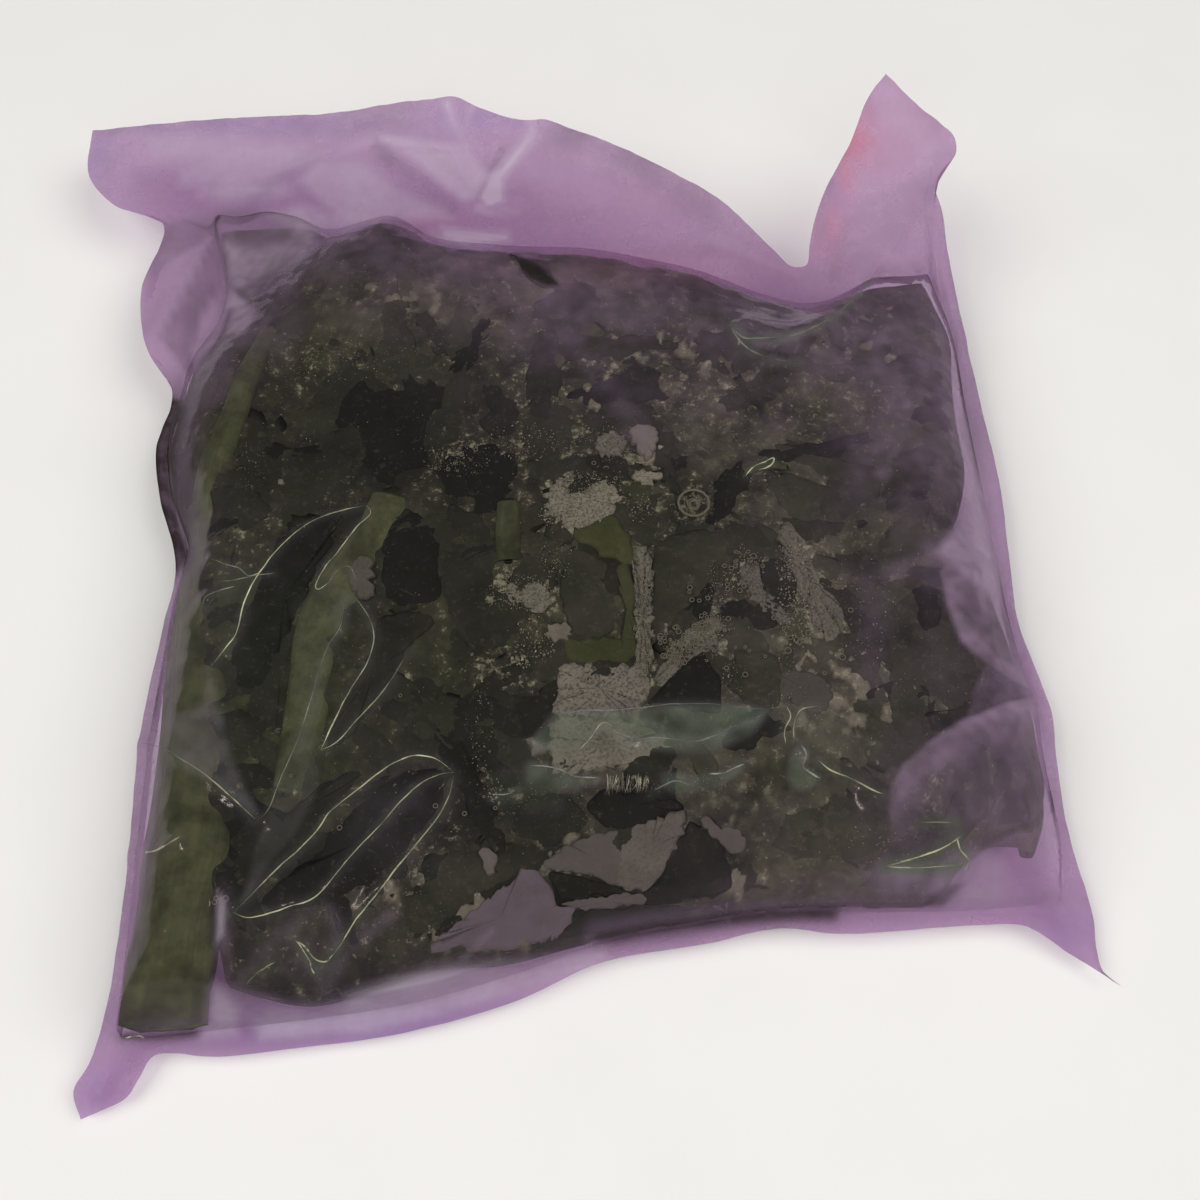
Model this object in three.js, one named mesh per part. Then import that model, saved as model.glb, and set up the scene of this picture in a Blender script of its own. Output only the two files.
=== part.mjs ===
// A sealed pouch of frozen malabar spinach, lying flat with its clear side up.
// The pouch is two sheets of soft film, welded along all four edges round a slab of frozen
// leaves and stalks. It is modelled as one solid: the filled pillow, the thin flaps of film
// that stick out round it, and the relief that stalks, lumps and folds give its upper sheet.
// Millimetres, +Z up, +Y towards the pouch's wide top flap. The origin is on the surface that
// the pouch lies on, at the middle of its footprint.
import * as THREE from "three";

// The net of film cells. The pillow takes the cells between these two pairs of lines, and the
// flaps take the rest.
const COLUMNS = 48;
const ROWS = 48;
const PILLOW_LEFT = 2;
const PILLOW_RIGHT = 46;
const PILLOW_LOW = 2;
const PILLOW_HIGH = 42;
const RELAX_SWEEPS = 400; // passes that even out the net of cells

const FLAP_THICKNESS = 1.2; // both sheets of film together, stout enough to be a solid
const SLAB_TOP = 26.5; // height of the frozen slab's upper side
const SHOULDER = 20; // how far in from the pillow's edge the upper sheet levels out
const HEEL_CELLS = 2; // cells from the pillow's seam to the flat base of the lower sheet
const HEEL_SHARE = 0.2; // height of the heel's middle line, as a share of the seam's height
const BASE_BOW = 2.5; // how far the base's sides curve in between its four corners
const NEAR_SEAM = 4.5; // height of the pillow's seam at its bottom end
const FAR_SEAM = 11.5; // and at its top end, which holds the thick end of the slab
const NEAR_Y = -100;
const FAR_Y = 80;

// The welded edges of the film as [x, y, height] along smooth curves. The bottom and top edges
// run from left to right, the left and right edges from bottom to top.
const BOTTOM_EDGE = [
  [-73.5, -113.5, 2], [-65.5, -109.5, 2.5], [-62.5, -103.5, 3.5], [-51, -103.5, 3.5],
  [-38, -102, 3], [-19.5, -99.5, 3], [0.5, -94, 3.2], [15.5, -87.5, 4], [35, -84, 4],
  [48, -81.5, 5], [59, -82.5, 5], [83, -81, 5], [93, -81, 4.5], [99, -84.5, 3], [110, -91.5, 1.5],
];
const RIGHT_EDGE = [
  [110, -91.5, 1.5], [106, -88.5, 2.5], [105.5, -78.5, 4], [103, -63.5, 6], [102.5, -37.5, 8],
  [99.5, -20, 8.5], [100, -6, 8.5], [100.5, 12.5, 9], [99, 33.5, 10], [95, 68, 17],
  [91.5, 82, 26], [96, 87.5, 32], [87, 98, 35], [81, 106.5, 36],
];
const TOP_EDGE = [
  [-110, 114, 13], [-76.5, 112.5, 18], [-47.5, 110, 22], [-22.5, 111, 25], [-6, 106, 24],
  [10.5, 102.5, 23], [27, 94, 22], [44, 81.5, 21], [54, 69.5, 19.5], [61, 63, 18.5],
  [63.5, 72.5, 22], [66.5, 80.5, 26], [72, 89.5, 31], [76.5, 100, 35], [81, 106.5, 36],
];
const LEFT_EDGE = [
  [-73.5, -113.5, 2], [-75.5, -110.5, 2.5], [-72.5, -103.5, 4.5], [-71, -95.5, 6],
  [-71, -73, 7.5], [-73, -45, 8], [-72, -23.5, 9], [-71.5, -8, 9.5], [-77, 7.5, 10],
  [-80, 21, 10], [-78.5, 35, 10.5], [-85, 45, 11], [-89.5, 62, 12.5], [-87.5, 83, 13],
  [-99, 88, 13], [-108, 98.5, 13], [-110, 114, 13],
];

// The four sides of the filled pillow, seen from above, in the same directions.
const PILLOW_BOTTOM = [
  [-67.5, -101], [-49.5, -99], [-32, -97], [-16.5, -94.5], [1, -89.5], [15.5, -84.5],
  [33.5, -81], [48, -79], [81, -78.5], [99, -77],
];
const PILLOW_RIGHT_SIDE = [
  [99, -77], [100.5, -67], [100, -54], [96.5, -16], [96, 3], [95, 28.5], [94.5, 49.5], [91, 66],
];
const PILLOW_TOP = [
  [-76, 83], [-56, 84], [-46.5, 79], [-31.5, 82], [-21, 75], [-7, 73], [15.5, 72], [38, 66],
  [60.5, 57], [79.5, 63], [91, 66],
];
const PILLOW_LEFT_SIDE = [
  [-67.5, -101], [-68, -87.5], [-70, -54], [-70, -20.5], [-69, -7], [-74.5, 7.5], [-77, 20.5],
  [-74.5, 37], [-69.5, 52], [-71.5, 68], [-76, 83],
];

// Broad swells and hollows of the slab: [x, y, reach across, reach along, rise].
const SWELLS = [
  [-27, 55, 26, 20, 3], // clump of leaves under the top flap
  [35, -8, 30, 26, 1.2],
  [71, 8, 20, 34, 1.5], // right-hand side
  [15, -44, 20, 14, -2.6], // flat patch of clear ice
  [-15, -74, 28, 12, 1.5],
  [88, -64, 22, 20, -6], // the slab thins out towards the bottom right corner
  [-62, 68, 15, 19, -8], // hardly any filling at the top left
  [79, 52, 22, 18, -3],
];

// Long rounded ridges on the upper sheet: [points, half width, rise].
const STALKS = [
  [[[-61, -99], [-59.5, -79.5], [-58.5, -55], [-58.5, -32], [-58, -6], [-58, 24]], 9, 2.6],
  [[[-21, -3], [-31, -25.5], [-36, -50], [-38.5, -70]], 7, 1.6],
];
const FOLDS = [
  [[[95.5, 79], [78, 62], [64.5, 43.5], [55.5, 36], [46, 38]], 4.5, 3], // twisted corner
  [[[44, 40.5], [48.5, 32.5], [58, 29]], 4, 1.6],
  [[[-63, 87.5], [-48.5, 98], [-37, 101.5], [-27, 96.5], [-15, 84.5], [-3, 84]], 5, 3.2],
  [[[-19, 109], [-14.5, 97.5], [-13, 83]], 4, 1.6],
  [[[2.5, 102.5], [-3.5, 95], [-12.5, 84]], 4, 1.6],
  [[[-74.5, 76.5], [-84, 48.5]], 4.5, 2.6], // slack film at the top left
  [[[-66.5, 59.5], [-73, 36.5]], 4, 2.2],
  [[[99, -41.5], [80.5, -55], [65.5, -66]], 5, 2.6], // film that bridges the thin corner
  [[[92.5, -13], [81, -24], [77, -32.5]], 4.5, 1.8],
  [[[-46, -83.5], [-31, -67.5], [-9, -60]], 4, 1.4], // creases over the lower stalk
  [[[-32, -24], [-25.5, -35.5], [-33, -56.5]], 4, 1.4],
  [[[-29.5, -6], [-44.5, -14.5], [-50, -26], [-55, -39.5]], 4, 1.4],
];

// Small lumps of leaf, spread over the slab by the plastic ratio's low-discrepancy sequence.
const LUMPS = 70;
const LUMP_STEP = [0.7549, 0.5698];
const LUMP_REACH = [6, 12];
const LUMP_RISE = [-0.9, 1.3];
const LUMP_FIELD = [-70, 95, -95, 75]; // left, right, near, far

function seamHeight(y) {
  return THREE.MathUtils.mapLinear(y, NEAR_Y, FAR_Y, NEAR_SEAM, FAR_SEAM);
}

// A curve through [x, y, height] points, where a point with no height lies on the seam.
function smoothCurve(points) {
  const vectors = points.map(([x, y, z = seamHeight(y)]) => new THREE.Vector3(x, y, z));
  return new THREE.CatmullRomCurve3(vectors, false, "centripetal");
}

// Fills the net between columns i0 and i1 and rows j0 and j1 with a Coons patch of four curves.
function spanPatch(net, [i0, i1], [j0, j1], { bottom, right, top, left }) {
  const [low, high] = [bottom, top].map((points) => smoothCurve(points).getSpacedPoints(i1 - i0));
  const [west, east] = [left, right].map((points) => smoothCurve(points).getSpacedPoints(j1 - j0));
  for (let i = i0; i <= i1; i++) {
    const u = (i - i0) / (i1 - i0);
    const nearCorner = low[0].clone().lerp(low[i1 - i0], u);
    const farCorner = high[0].clone().lerp(high[i1 - i0], u);
    for (let j = j0; j <= j1; j++) {
      const v = (j - j0) / (j1 - j0);
      const alongColumn = low[i - i0].clone().lerp(high[i - i0], v);
      const alongRow = west[j - j0].clone().lerp(east[j - j0], u);
      net[i][j] = alongColumn.add(alongRow).sub(nearCorner.clone().lerp(farCorner, v));
    }
  }
}

function onFilmEdge(i, j) {
  return i === 0 || j === 0 || i === COLUMNS || j === ROWS;
}

function onPillow(i, j) {
  return i >= PILLOW_LEFT && i <= PILLOW_RIGHT && j >= PILLOW_LOW && j <= PILLOW_HIGH;
}

function onSeam(i, j) {
  const onSide = i === PILLOW_LEFT || i === PILLOW_RIGHT || j === PILLOW_LOW || j === PILLOW_HIGH;
  return onPillow(i, j) && onSide;
}

// The line of points half way from the pillow's seam to the flat base.
function onHeelLine(i, j) {
  const onColumn = i === PILLOW_LEFT + 1 || i === PILLOW_RIGHT - 1;
  const onRow = j === PILLOW_LOW + 1 || j === PILLOW_HIGH - 1;
  return onPillow(i, j) && !onSeam(i, j) && (onColumn || onRow);
}

function eachPoint(net, place) {
  return net.map((column, i) => column.map((point, j) => place(point, i, j)));
}

// One pass of Winslow's equations over the plan: it evens out the cells and unfolds them, and
// keeps the film's edges and the pillow's seam where they are.
function relaxPlan(net) {
  for (let i = 1; i < COLUMNS; i++) {
    for (let j = 1; j < ROWS; j++) {
      if (onSeam(i, j)) continue;
      const [west, east, south, north] = [net[i - 1][j], net[i + 1][j], net[i][j - 1], net[i][j + 1]];
      const across = new THREE.Vector2(east.x - west.x, east.y - west.y);
      const along = new THREE.Vector2(north.x - south.x, north.y - south.y);
      const [alpha, beta, gamma] = [along.lengthSq(), across.dot(along), across.lengthSq()];
      for (const axis of ["x", "y"]) {
        const corners =
          net[i + 1][j + 1][axis] - net[i + 1][j - 1][axis] -
          net[i - 1][j + 1][axis] + net[i - 1][j - 1][axis];
        const pull = alpha * (west[axis] + east[axis]) + gamma * (south[axis] + north[axis]);
        net[i][j][axis] = (pull - (beta * corners) / 2) / (2 * (alpha + gamma));
      }
    }
  }
}

// One pass over the heights: the flaps hang as a membrane between the film's edge and the seam.
function relaxFlaps(net) {
  for (let i = 1; i < COLUMNS; i++) {
    for (let j = 1; j < ROWS; j++) {
      if (onPillow(i, j)) continue;
      net[i][j].z = (net[i - 1][j].z + net[i + 1][j].z + net[i][j - 1].z + net[i][j + 1].z) / 4;
    }
  }
}

// Nearest distance from (x, y) to a chain of points.
function distanceToChain(x, y, chain) {
  let nearest = Infinity;
  for (let k = 1; k < chain.length; k++) {
    const [a, b] = [chain[k - 1], chain[k]];
    const [dx, dy] = [b.x - a.x, b.y - a.y];
    const share = ((x - a.x) * dx + (y - a.y) * dy) / (dx * dx + dy * dy);
    const t = THREE.MathUtils.clamp(share, 0, 1);
    nearest = Math.min(nearest, Math.hypot(x - a.x - t * dx, y - a.y - t * dy));
  }
  return nearest;
}

// 0 at the seam and 1 from `reach` inwards, along a quarter of an ellipse.
function quarterRound(depth, reach) {
  const s = Math.min(depth / reach, 1);
  return Math.sqrt(1 - (1 - s) ** 2);
}

function bell(distance) {
  return Math.exp(-distance * distance);
}

function fraction(value) {
  return value - Math.floor(value);
}

function makeLumps() {
  const [left, right, near, far] = LUMP_FIELD;
  const lumps = [];
  for (let k = 1; k <= LUMPS; k++) {
    const x = THREE.MathUtils.lerp(left, right, fraction(k * LUMP_STEP[0]));
    const y = THREE.MathUtils.lerp(near, far, fraction(k * LUMP_STEP[1]));
    const reach = THREE.MathUtils.lerp(...LUMP_REACH, fraction(k * Math.SQRT2));
    const rise = THREE.MathUtils.lerp(...LUMP_RISE, fraction(k * Math.E));
    lumps.push([x, y, reach, reach, rise]);
  }
  return lumps;
}

const bumps = [...SWELLS, ...makeLumps()];

// Rise or fall of the frozen slab's upper side from its usual height.
function slabRelief(x, y) {
  let relief = 0;
  for (const [cx, cy, across, along, rise] of bumps) {
    relief += rise * bell(Math.hypot((x - cx) / across, (y - cy) / along));
  }
  return relief;
}

function makeRidges(list) {
  return list.map(([points, halfWidth, rise]) => {
    return { chain: smoothCurve(points).getPoints(8 * points.length), halfWidth, rise };
  });
}

const stalks = makeRidges(STALKS);
const folds = makeRidges(FOLDS);
const seam = [PILLOW_BOTTOM, PILLOW_RIGHT_SIDE, PILLOW_TOP, PILLOW_LEFT_SIDE].map((points) =>
  smoothCurve(points).getPoints(6 * points.length),
);

// Height of the tallest ridge at (x, y), where each is rounded like a bell across its width.
function ridgeHeight(x, y, ridges) {
  const heights = ridges.map(
    ({ chain, halfWidth, rise }) => rise * bell(distanceToChain(x, y, chain) / halfWidth),
  );
  return Math.max(...heights);
}

// Height half way between the two sheets, on the flaps and along the pillow's seam.
function middleHeight({ x, y, z }, inPillow) {
  return (inPillow ? seamHeight(y) : z) + ridgeHeight(x, y, folds);
}

// The upper sheet climbs from the seam to the top of the slab.
function upperSheet(net) {
  return eachPoint(net, (point, i, j) => {
    const { x, y } = point;
    const inPillow = onPillow(i, j);
    const depth = inPillow ? Math.min(...seam.map((side) => distanceToChain(x, y, side))) : 0;
    const ridge = Math.max(ridgeHeight(x, y, folds), ridgeHeight(x, y, stalks));
    const crest = SLAB_TOP + slabRelief(x, y) + ridge;
    const foot = middleHeight(point, inPillow) + FLAP_THICKNESS / 2;
    const height = THREE.MathUtils.lerp(foot, crest, quarterRound(depth, SHOULDER));
    return new THREE.Vector3(x, y, height);
  });
}

// One side of the flat base: it curves in a little between two corners, towards the middle.
function baseSide(from, to, middle) {
  const halfway = from.clone().lerp(to, 0.5);
  halfway.add(middle.clone().sub(halfway).setLength(BASE_BOW));
  return [from, halfway, to].map(({ x, y }) => [x, y, 0]);
}

// The lower sheet turns in under the seam and lies flat between the base's four corners.
function lowerSheet(net) {
  const sheet = eachPoint(net, (point, i, j) => {
    const height = middleHeight(point, onPillow(i, j)) - FLAP_THICKNESS / 2;
    return new THREE.Vector3(point.x, point.y, height);
  });
  const [i0, i1] = [PILLOW_LEFT + HEEL_CELLS, PILLOW_RIGHT - HEEL_CELLS];
  const [j0, j1] = [PILLOW_LOW + HEEL_CELLS, PILLOW_HIGH - HEEL_CELLS];
  const [nearLeft, nearRight, farLeft, farRight] = [net[i0][j0], net[i1][j0], net[i0][j1], net[i1][j1]];
  const middle = nearLeft.clone().lerp(farRight, 0.5);
  spanPatch(sheet, [i0, i1], [j0, j1], {
    bottom: baseSide(nearLeft, nearRight, middle),
    right: baseSide(nearRight, farRight, middle),
    top: baseSide(farLeft, farRight, middle),
    left: baseSide(nearLeft, farLeft, middle),
  });
  const heel = (i, j) => {
    const [k, l] = [THREE.MathUtils.clamp(i, i0, i1), THREE.MathUtils.clamp(j, j0, j1)];
    const [inner, outer] = [sheet[k][l], sheet[2 * i - k][2 * j - l]];
    return new THREE.Vector3().lerpVectors(inner, outer, 0.5).setZ(HEEL_SHARE * outer.z);
  };
  return eachPoint(sheet, (point, i, j) => (onHeelLine(i, j) ? heel(i, j) : point));
}

function filmNet() {
  const net = Array.from({ length: COLUMNS + 1 }, () => []);
  const film = { bottom: BOTTOM_EDGE, right: RIGHT_EDGE, top: TOP_EDGE, left: LEFT_EDGE };
  const pillow = {
    bottom: PILLOW_BOTTOM,
    right: PILLOW_RIGHT_SIDE,
    top: PILLOW_TOP,
    left: PILLOW_LEFT_SIDE,
  };
  spanPatch(net, [0, COLUMNS], [0, ROWS], film);
  spanPatch(net, [PILLOW_LEFT, PILLOW_RIGHT], [PILLOW_LOW, PILLOW_HIGH], pillow);
  for (let sweep = 0; sweep < RELAX_SWEEPS; sweep++) {
    relaxPlan(net);
    relaxFlaps(net);
  }
  return net;
}

// Both sheets as one closed surface: they share the points along the welded edges.
function pouchGeometry() {
  const net = filmNet();
  const [above, below] = [upperSheet(net), lowerSheet(net)];
  const positions = [];
  const addPoint = (point) => positions.push(...point.toArray()) / 3 - 1;
  const upper = eachPoint(net, (edge, i, j) => addPoint(onFilmEdge(i, j) ? edge : above[i][j]));
  const lower = eachPoint(net, (edge, i, j) =>
    onFilmEdge(i, j) ? upper[i][j] : addPoint(below[i][j]),
  );
  const triangles = [];
  for (let i = 0; i < COLUMNS; i++) {
    for (let j = 0; j < ROWS; j++) {
      const [a, b, c, d] = [[i, j], [i + 1, j], [i + 1, j + 1], [i, j + 1]];
      // Diagonals run out to the film's four corners, so no triangle lies wholly on its edge.
      const outward = i < COLUMNS / 2 === j < ROWS / 2;
      for (const [p, q, r] of outward ? [[a, b, c], [a, c, d]] : [[a, b, d], [b, c, d]]) {
        triangles.push(upper[p[0]][p[1]], upper[q[0]][q[1]], upper[r[0]][r[1]]);
        triangles.push(lower[p[0]][p[1]], lower[r[0]][r[1]], lower[q[0]][q[1]]);
      }
    }
  }
  const geometry = new THREE.BufferGeometry();
  geometry.setAttribute("position", new THREE.Float32BufferAttribute(positions, 3));
  geometry.setIndex(triangles);
  geometry.computeBoundingBox();
  const centre = geometry.boundingBox.getCenter(new THREE.Vector3());
  geometry.translate(-centre.x, -centre.y, 0);
  geometry.computeVertexNormals();
  return geometry;
}

const film = new THREE.MeshStandardMaterial({
  color: 0xa583a6,
  roughness: 0.3,
  metalness: 0,
  side: THREE.DoubleSide,
});

const pouch = new THREE.Mesh(pouchGeometry(), film);
pouch.name = "pouch";

const pack = new THREE.Group();
pack.add(pouch);
export default pack;
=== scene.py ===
# %% [markdown]
# # A pouch of frozen malabar spinach
# The real object is a flat pouch of thin purple film, welded on four sides round a slab of
# leaves and stalks that were blanched, packed wet and frozen. Where the film clings to the wet
# slab it is nearly invisible. Where it stands clear it looks like purple fog. The lesson builds
# the inside first, as mesh, and then wraps it in film whose fogginess is painted on its points.

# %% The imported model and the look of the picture
import bpy
import numpy as np
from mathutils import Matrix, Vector
from mathutils.kdtree import KDTree


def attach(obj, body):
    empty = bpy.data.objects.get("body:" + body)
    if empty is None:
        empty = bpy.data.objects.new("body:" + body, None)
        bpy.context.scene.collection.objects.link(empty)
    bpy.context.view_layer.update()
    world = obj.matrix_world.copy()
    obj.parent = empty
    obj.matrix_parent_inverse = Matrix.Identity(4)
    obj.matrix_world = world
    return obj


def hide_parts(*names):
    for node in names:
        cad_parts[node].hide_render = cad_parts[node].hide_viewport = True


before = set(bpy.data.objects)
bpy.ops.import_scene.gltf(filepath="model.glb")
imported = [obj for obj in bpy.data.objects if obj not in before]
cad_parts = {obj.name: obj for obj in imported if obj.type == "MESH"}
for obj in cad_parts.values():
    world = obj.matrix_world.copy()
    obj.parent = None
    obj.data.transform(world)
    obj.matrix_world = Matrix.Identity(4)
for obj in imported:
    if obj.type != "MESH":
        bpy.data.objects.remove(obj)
bpy.context.view_layer.update()
scene = bpy.context.scene
scene.view_settings.view_transform = "Standard"
MM = 0.001

# %% [markdown]
# ## The camera
# The photograph looks down on the pouch from 61.5 degrees above the table, close enough that
# the far end looks smaller. That angle was worked out from where the pouch's long sides meet.
# The camera's numbers are kept as values, because the script also uses them the other way:
# it works out where a point of the pouch lands in the 1200 by 1200 picture, so that a leaf or
# a crease can be placed by the pixel where the photograph shows it.

# %% Camera
TARGET = np.array([15.5, -17.5, 12.0])   # mm, the point in the middle of the picture
TILT = np.radians(61.5)                  # angle of the line of sight above the table
DISTANCE = 260.0                         # mm from the lens to the target
SENSOR = 36.0                            # mm, how wide the sensor is
LENS = 39.0                              # mm
PICTURE = 1200
FOCAL = PICTURE * LENS / SENSOR          # focal length in pixels

FORWARD = np.array([0.0, np.cos(TILT), -np.sin(TILT)])
UPWARD = np.array([0.0, np.sin(TILT), np.cos(TILT)])
EYE = TARGET - DISTANCE * FORWARD

camera_data = bpy.data.cameras.new("camera")
camera_data.lens = LENS
camera_data.sensor_width = SENSOR
camera = bpy.data.objects.new("camera", camera_data)
camera.location = EYE * MM
camera.rotation_euler = (np.pi / 2 - TILT, 0, 0)
scene.collection.objects.link(camera)
scene.camera = camera


def to_picture(points):
    """Pixels of points in mm: the sideways and upward shares of the line of sight, times the
    focal length, over the distance along the line of sight."""
    offset = np.asarray(points, float) - EYE
    ahead = offset @ FORWARD
    right = PICTURE / 2 + FOCAL * offset[..., 0] / ahead
    down = PICTURE / 2 - FOCAL * (offset @ UPWARD) / ahead
    return np.stack([right, down], -1)


def from_picture(pixels, height):
    """The plan position, in mm, of pixels that show something at a known height: the line of
    sight through the pixel is followed until it is that high."""
    pixels = np.asarray(pixels, float)
    ray = (
        FORWARD
        + (pixels[..., :1] - PICTURE / 2) / FOCAL * np.array([1.0, 0, 0])
        - (pixels[..., 1:2] - PICTURE / 2) / FOCAL * UPWARD
    )
    reach = (height - EYE[2]) / ray[..., 2:3]
    return (EYE + reach * ray)[..., :2]


print("eye at", EYE.round(1), "one pixel is", round(DISTANCE / FOCAL, 2), "mm")

# %% [markdown]
# ## Curves and noise
# Three small tools do nearly all the shaping. The first puts a smooth curve through a few
# points. The second gives the distance from every point of a surface to such a curve, which is
# how a fold knows where it is. The third is noise: a few dozen plane waves of about the same
# length, in random directions, add up to a field as uneven as rumpled leaves.

# %% Curves, distances and noise
CURVE_STEPS = 24    # points between two given points, before they are spaced evenly


def smooth_curve(points, count, closed=False):
    """A centripetal Catmull-Rom curve: between two points it is the cubic whose end slopes
    come from the neighbours, weighted by the square roots of the gaps. The result has `count`
    points at equal steps along the curve."""
    p = np.asarray(points, float)
    ends = (p[-1:], p[:2]) if closed else (2 * p[:1] - p[1:2], 2 * p[-1:] - p[-2:-1])
    chain = np.vstack([ends[0], p, ends[1]])
    a, b, c, d = chain[:-3], chain[1:-2], chain[2:-1], chain[3:]
    k0, k1, k2 = (np.sqrt(np.linalg.norm(q - r, axis=1))[:, None] for q, r in ((a, b), (b, c), (c, d)))
    leave = k1 * ((b - a) / k0 - (c - a) / (k0 + k1) + (c - b) / k1)
    arrive = k1 * ((c - b) / k1 - (d - b) / (k1 + k2) + (d - c) / k2)
    t = np.linspace(0, 1, CURVE_STEPS, endpoint=False)[None, :, None]
    b, c, leave, arrive = (v[:, None, :] for v in (b, c, leave, arrive))
    dense = (
        b * (2 * t**3 - 3 * t**2 + 1) + leave * (t**3 - 2 * t**2 + t)
        + c * (3 * t**2 - 2 * t**3) + arrive * (t**3 - t**2)
    ).reshape(-1, p.shape[1])
    dense = np.vstack([dense, chain[-2:-1]])
    travel = np.append(0, np.cumsum(np.linalg.norm(np.diff(dense, axis=0), axis=1)))
    stops = np.linspace(0, travel[-1], count)
    return np.stack([np.interp(stops, travel, column) for column in dense.T], -1)


def distance_to(x, y, chain, reach):
    """Distance of every (x, y) to a chain of points: for each straight piece, to the nearest
    of its points, and the least of those. Points more than `reach` away count as endlessly far,
    which saves most of the work."""
    low, high = chain[:, :2].min(0) - reach, chain[:, :2].max(0) + reach
    close = (x > low[0]) & (x < high[0]) & (y > low[1]) & (y < high[1])
    px, py = x[close], y[close]
    nearest = np.full(px.shape, np.inf)
    for (ax, ay), (bx, by) in zip(chain[:-1, :2], chain[1:, :2]):
        dx, dy = bx - ax, by - ay
        share = np.clip(((px - ax) * dx + (py - ay) * dy) / (dx * dx + dy * dy + 1e-12), 0, 1)
        nearest = np.minimum(nearest, np.square(px - ax - share * dx) + np.square(py - ay - share * dy))
    distance = np.full(np.shape(x), np.inf)
    distance[close] = np.sqrt(nearest)
    return distance


def depth_inside(x, y, chain, reach):
    """Distance to a closed chain, positive inside it and negative outside. A point is inside
    where a ray to the right crosses the chain an odd number of times. Far points count as
    `reach` away."""
    odd = np.zeros(np.shape(x), bool)
    for (ax, ay), (bx, by) in zip(chain, np.roll(chain, -1, axis=0)):
        if ay != by:
            odd ^= ((ay > y) != (by > y)) & (x < ax + (y - ay) * (bx - ax) / (by - ay))
    gap = np.minimum(distance_to(x, y, np.vstack([chain, chain[:1]]), reach), reach)
    return np.where(odd, gap, -gap)


def bell(distance):
    """1 in the middle, falling off like a bell curve."""
    return np.exp(-np.square(distance))


def smooth_step(low, high, value):
    """0 below low, 1 above high, with the cubic 3s² - 2s³ between."""
    s = np.clip((value - low) / (high - low), 0, 1)
    return s * s * (3 - 2 * s)


def noise(x, y, length, seed, waves=26):
    """Plane waves of about this length in mm, in random directions, added up. The result is
    mostly between -1 and 1."""
    rng = np.random.default_rng(seed)
    angle = rng.uniform(0, 2 * np.pi, waves)
    pace = 2 * np.pi / (length * rng.uniform(0.7, 1.5, waves))
    phase = rng.uniform(0, 2 * np.pi, waves)
    total = np.zeros(np.shape(x))
    for w in range(waves):
        total += np.cos(pace[w] * (x * np.cos(angle[w]) + y * np.sin(angle[w])) + phase[w])
    return total * np.sqrt(2 / waves) / 2


def cells(x, y, size, seed):
    """Distance to the nearest of scattered dots, one dot somewhere in each square of a grid,
    as a share of the square's side. Grains and bubbles are packed like this."""
    column, row = np.floor(x / size).astype(int), np.floor(y / size).astype(int)
    table = np.random.default_rng(seed).uniform(0.1, 0.9, (256, 256, 2))
    nearest = np.full(np.shape(x), np.inf)
    for i in (-1, 0, 1):
        for j in (-1, 0, 1):
            dot = table[(column + i) % 256, (row + j) % 256]
            dx = (column + i + dot[..., 0]) - x / size
            dy = (row + j + dot[..., 1]) - y / size
            nearest = np.minimum(nearest, np.hypot(dx, dy))
    return nearest


# %% [markdown]
# ## Meshes from arrays
# A pouch, and the slab in it, are each two sheets that meet all round their edge. One grid of
# points describes the upper sheet. The lower sheet is seen less, so it takes every third
# point, and its outermost cells are polygons with extra corners, which keeps the seam closed
# without wasting triangles.

# %% Mesh helpers
LOWER_STEP = 3


def add_object(name, points_mm, polygons, smooth=True):
    mesh = bpy.data.meshes.new(name)
    mesh.from_pydata((np.asarray(points_mm) * MM).tolist(), [], polygons)
    mesh.polygons.foreach_set("use_smooth", np.full(len(mesh.polygons), smooth))
    mesh.update()
    obj = bpy.data.objects.new(name, mesh)
    scene.collection.objects.link(obj)
    return obj


def add_attribute(obj, name, values):
    """Stores a number, or a vector of three, on every point, for the material to read."""
    values = np.asarray(values, np.float32)
    if values.ndim == 1:
        obj.data.attributes.new(name, "FLOAT", "POINT").data.foreach_set("value", values)
    else:
        obj.data.attributes.new(name, "FLOAT_VECTOR", "POINT").data.foreach_set("vector", values.ravel())


def two_sheets(upper, lower):
    """Points and polygons of two grids that share their rim. Both grids are (n+1, m+1, 3);
    the lower one is used at every third point, and its rim cells borrow the upper rim."""
    n, m = upper.shape[0] - 1, upper.shape[1] - 1
    number = np.arange((n + 1) * (m + 1)).reshape(n + 1, m + 1)
    a, b, c, d = number[:-1, :-1], number[1:, :-1], number[1:, 1:], number[:-1, 1:]
    polygons = np.stack([a, b, c, d], -1).reshape(-1, 4).tolist()
    s = LOWER_STEP
    under = number[::s, ::s].copy()
    inner = np.arange(under[1:-1, 1:-1].size).reshape(under[1:-1, 1:-1].shape)
    under[1:-1, 1:-1] = number.size + inner
    columns, rows = under.shape[0] - 1, under.shape[1] - 1
    for i in range(columns):
        for j in range(rows):
            near = number[s * i:s * i + s + 1, 0] if j == 0 else under[i:i + 2, j]
            far = number[s * i:s * i + s + 1, m] if j == rows - 1 else under[i:i + 2, j + 1]
            left = number[0, s * j:s * j + s + 1] if i == 0 else under[i, j:j + 2]
            right = number[n, s * j:s * j + s + 1] if i == columns - 1 else under[i + 1, j:j + 2]
            ring = [*left, *far[1:], *right[::-1][1:], *near[::-1][1:-1]]
            polygons.append([int(k) for k in ring])
    points = np.vstack([upper.reshape(-1, 3), lower[::s, ::s][1:-1, 1:-1].reshape(-1, 3)])
    return points, polygons


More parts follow.
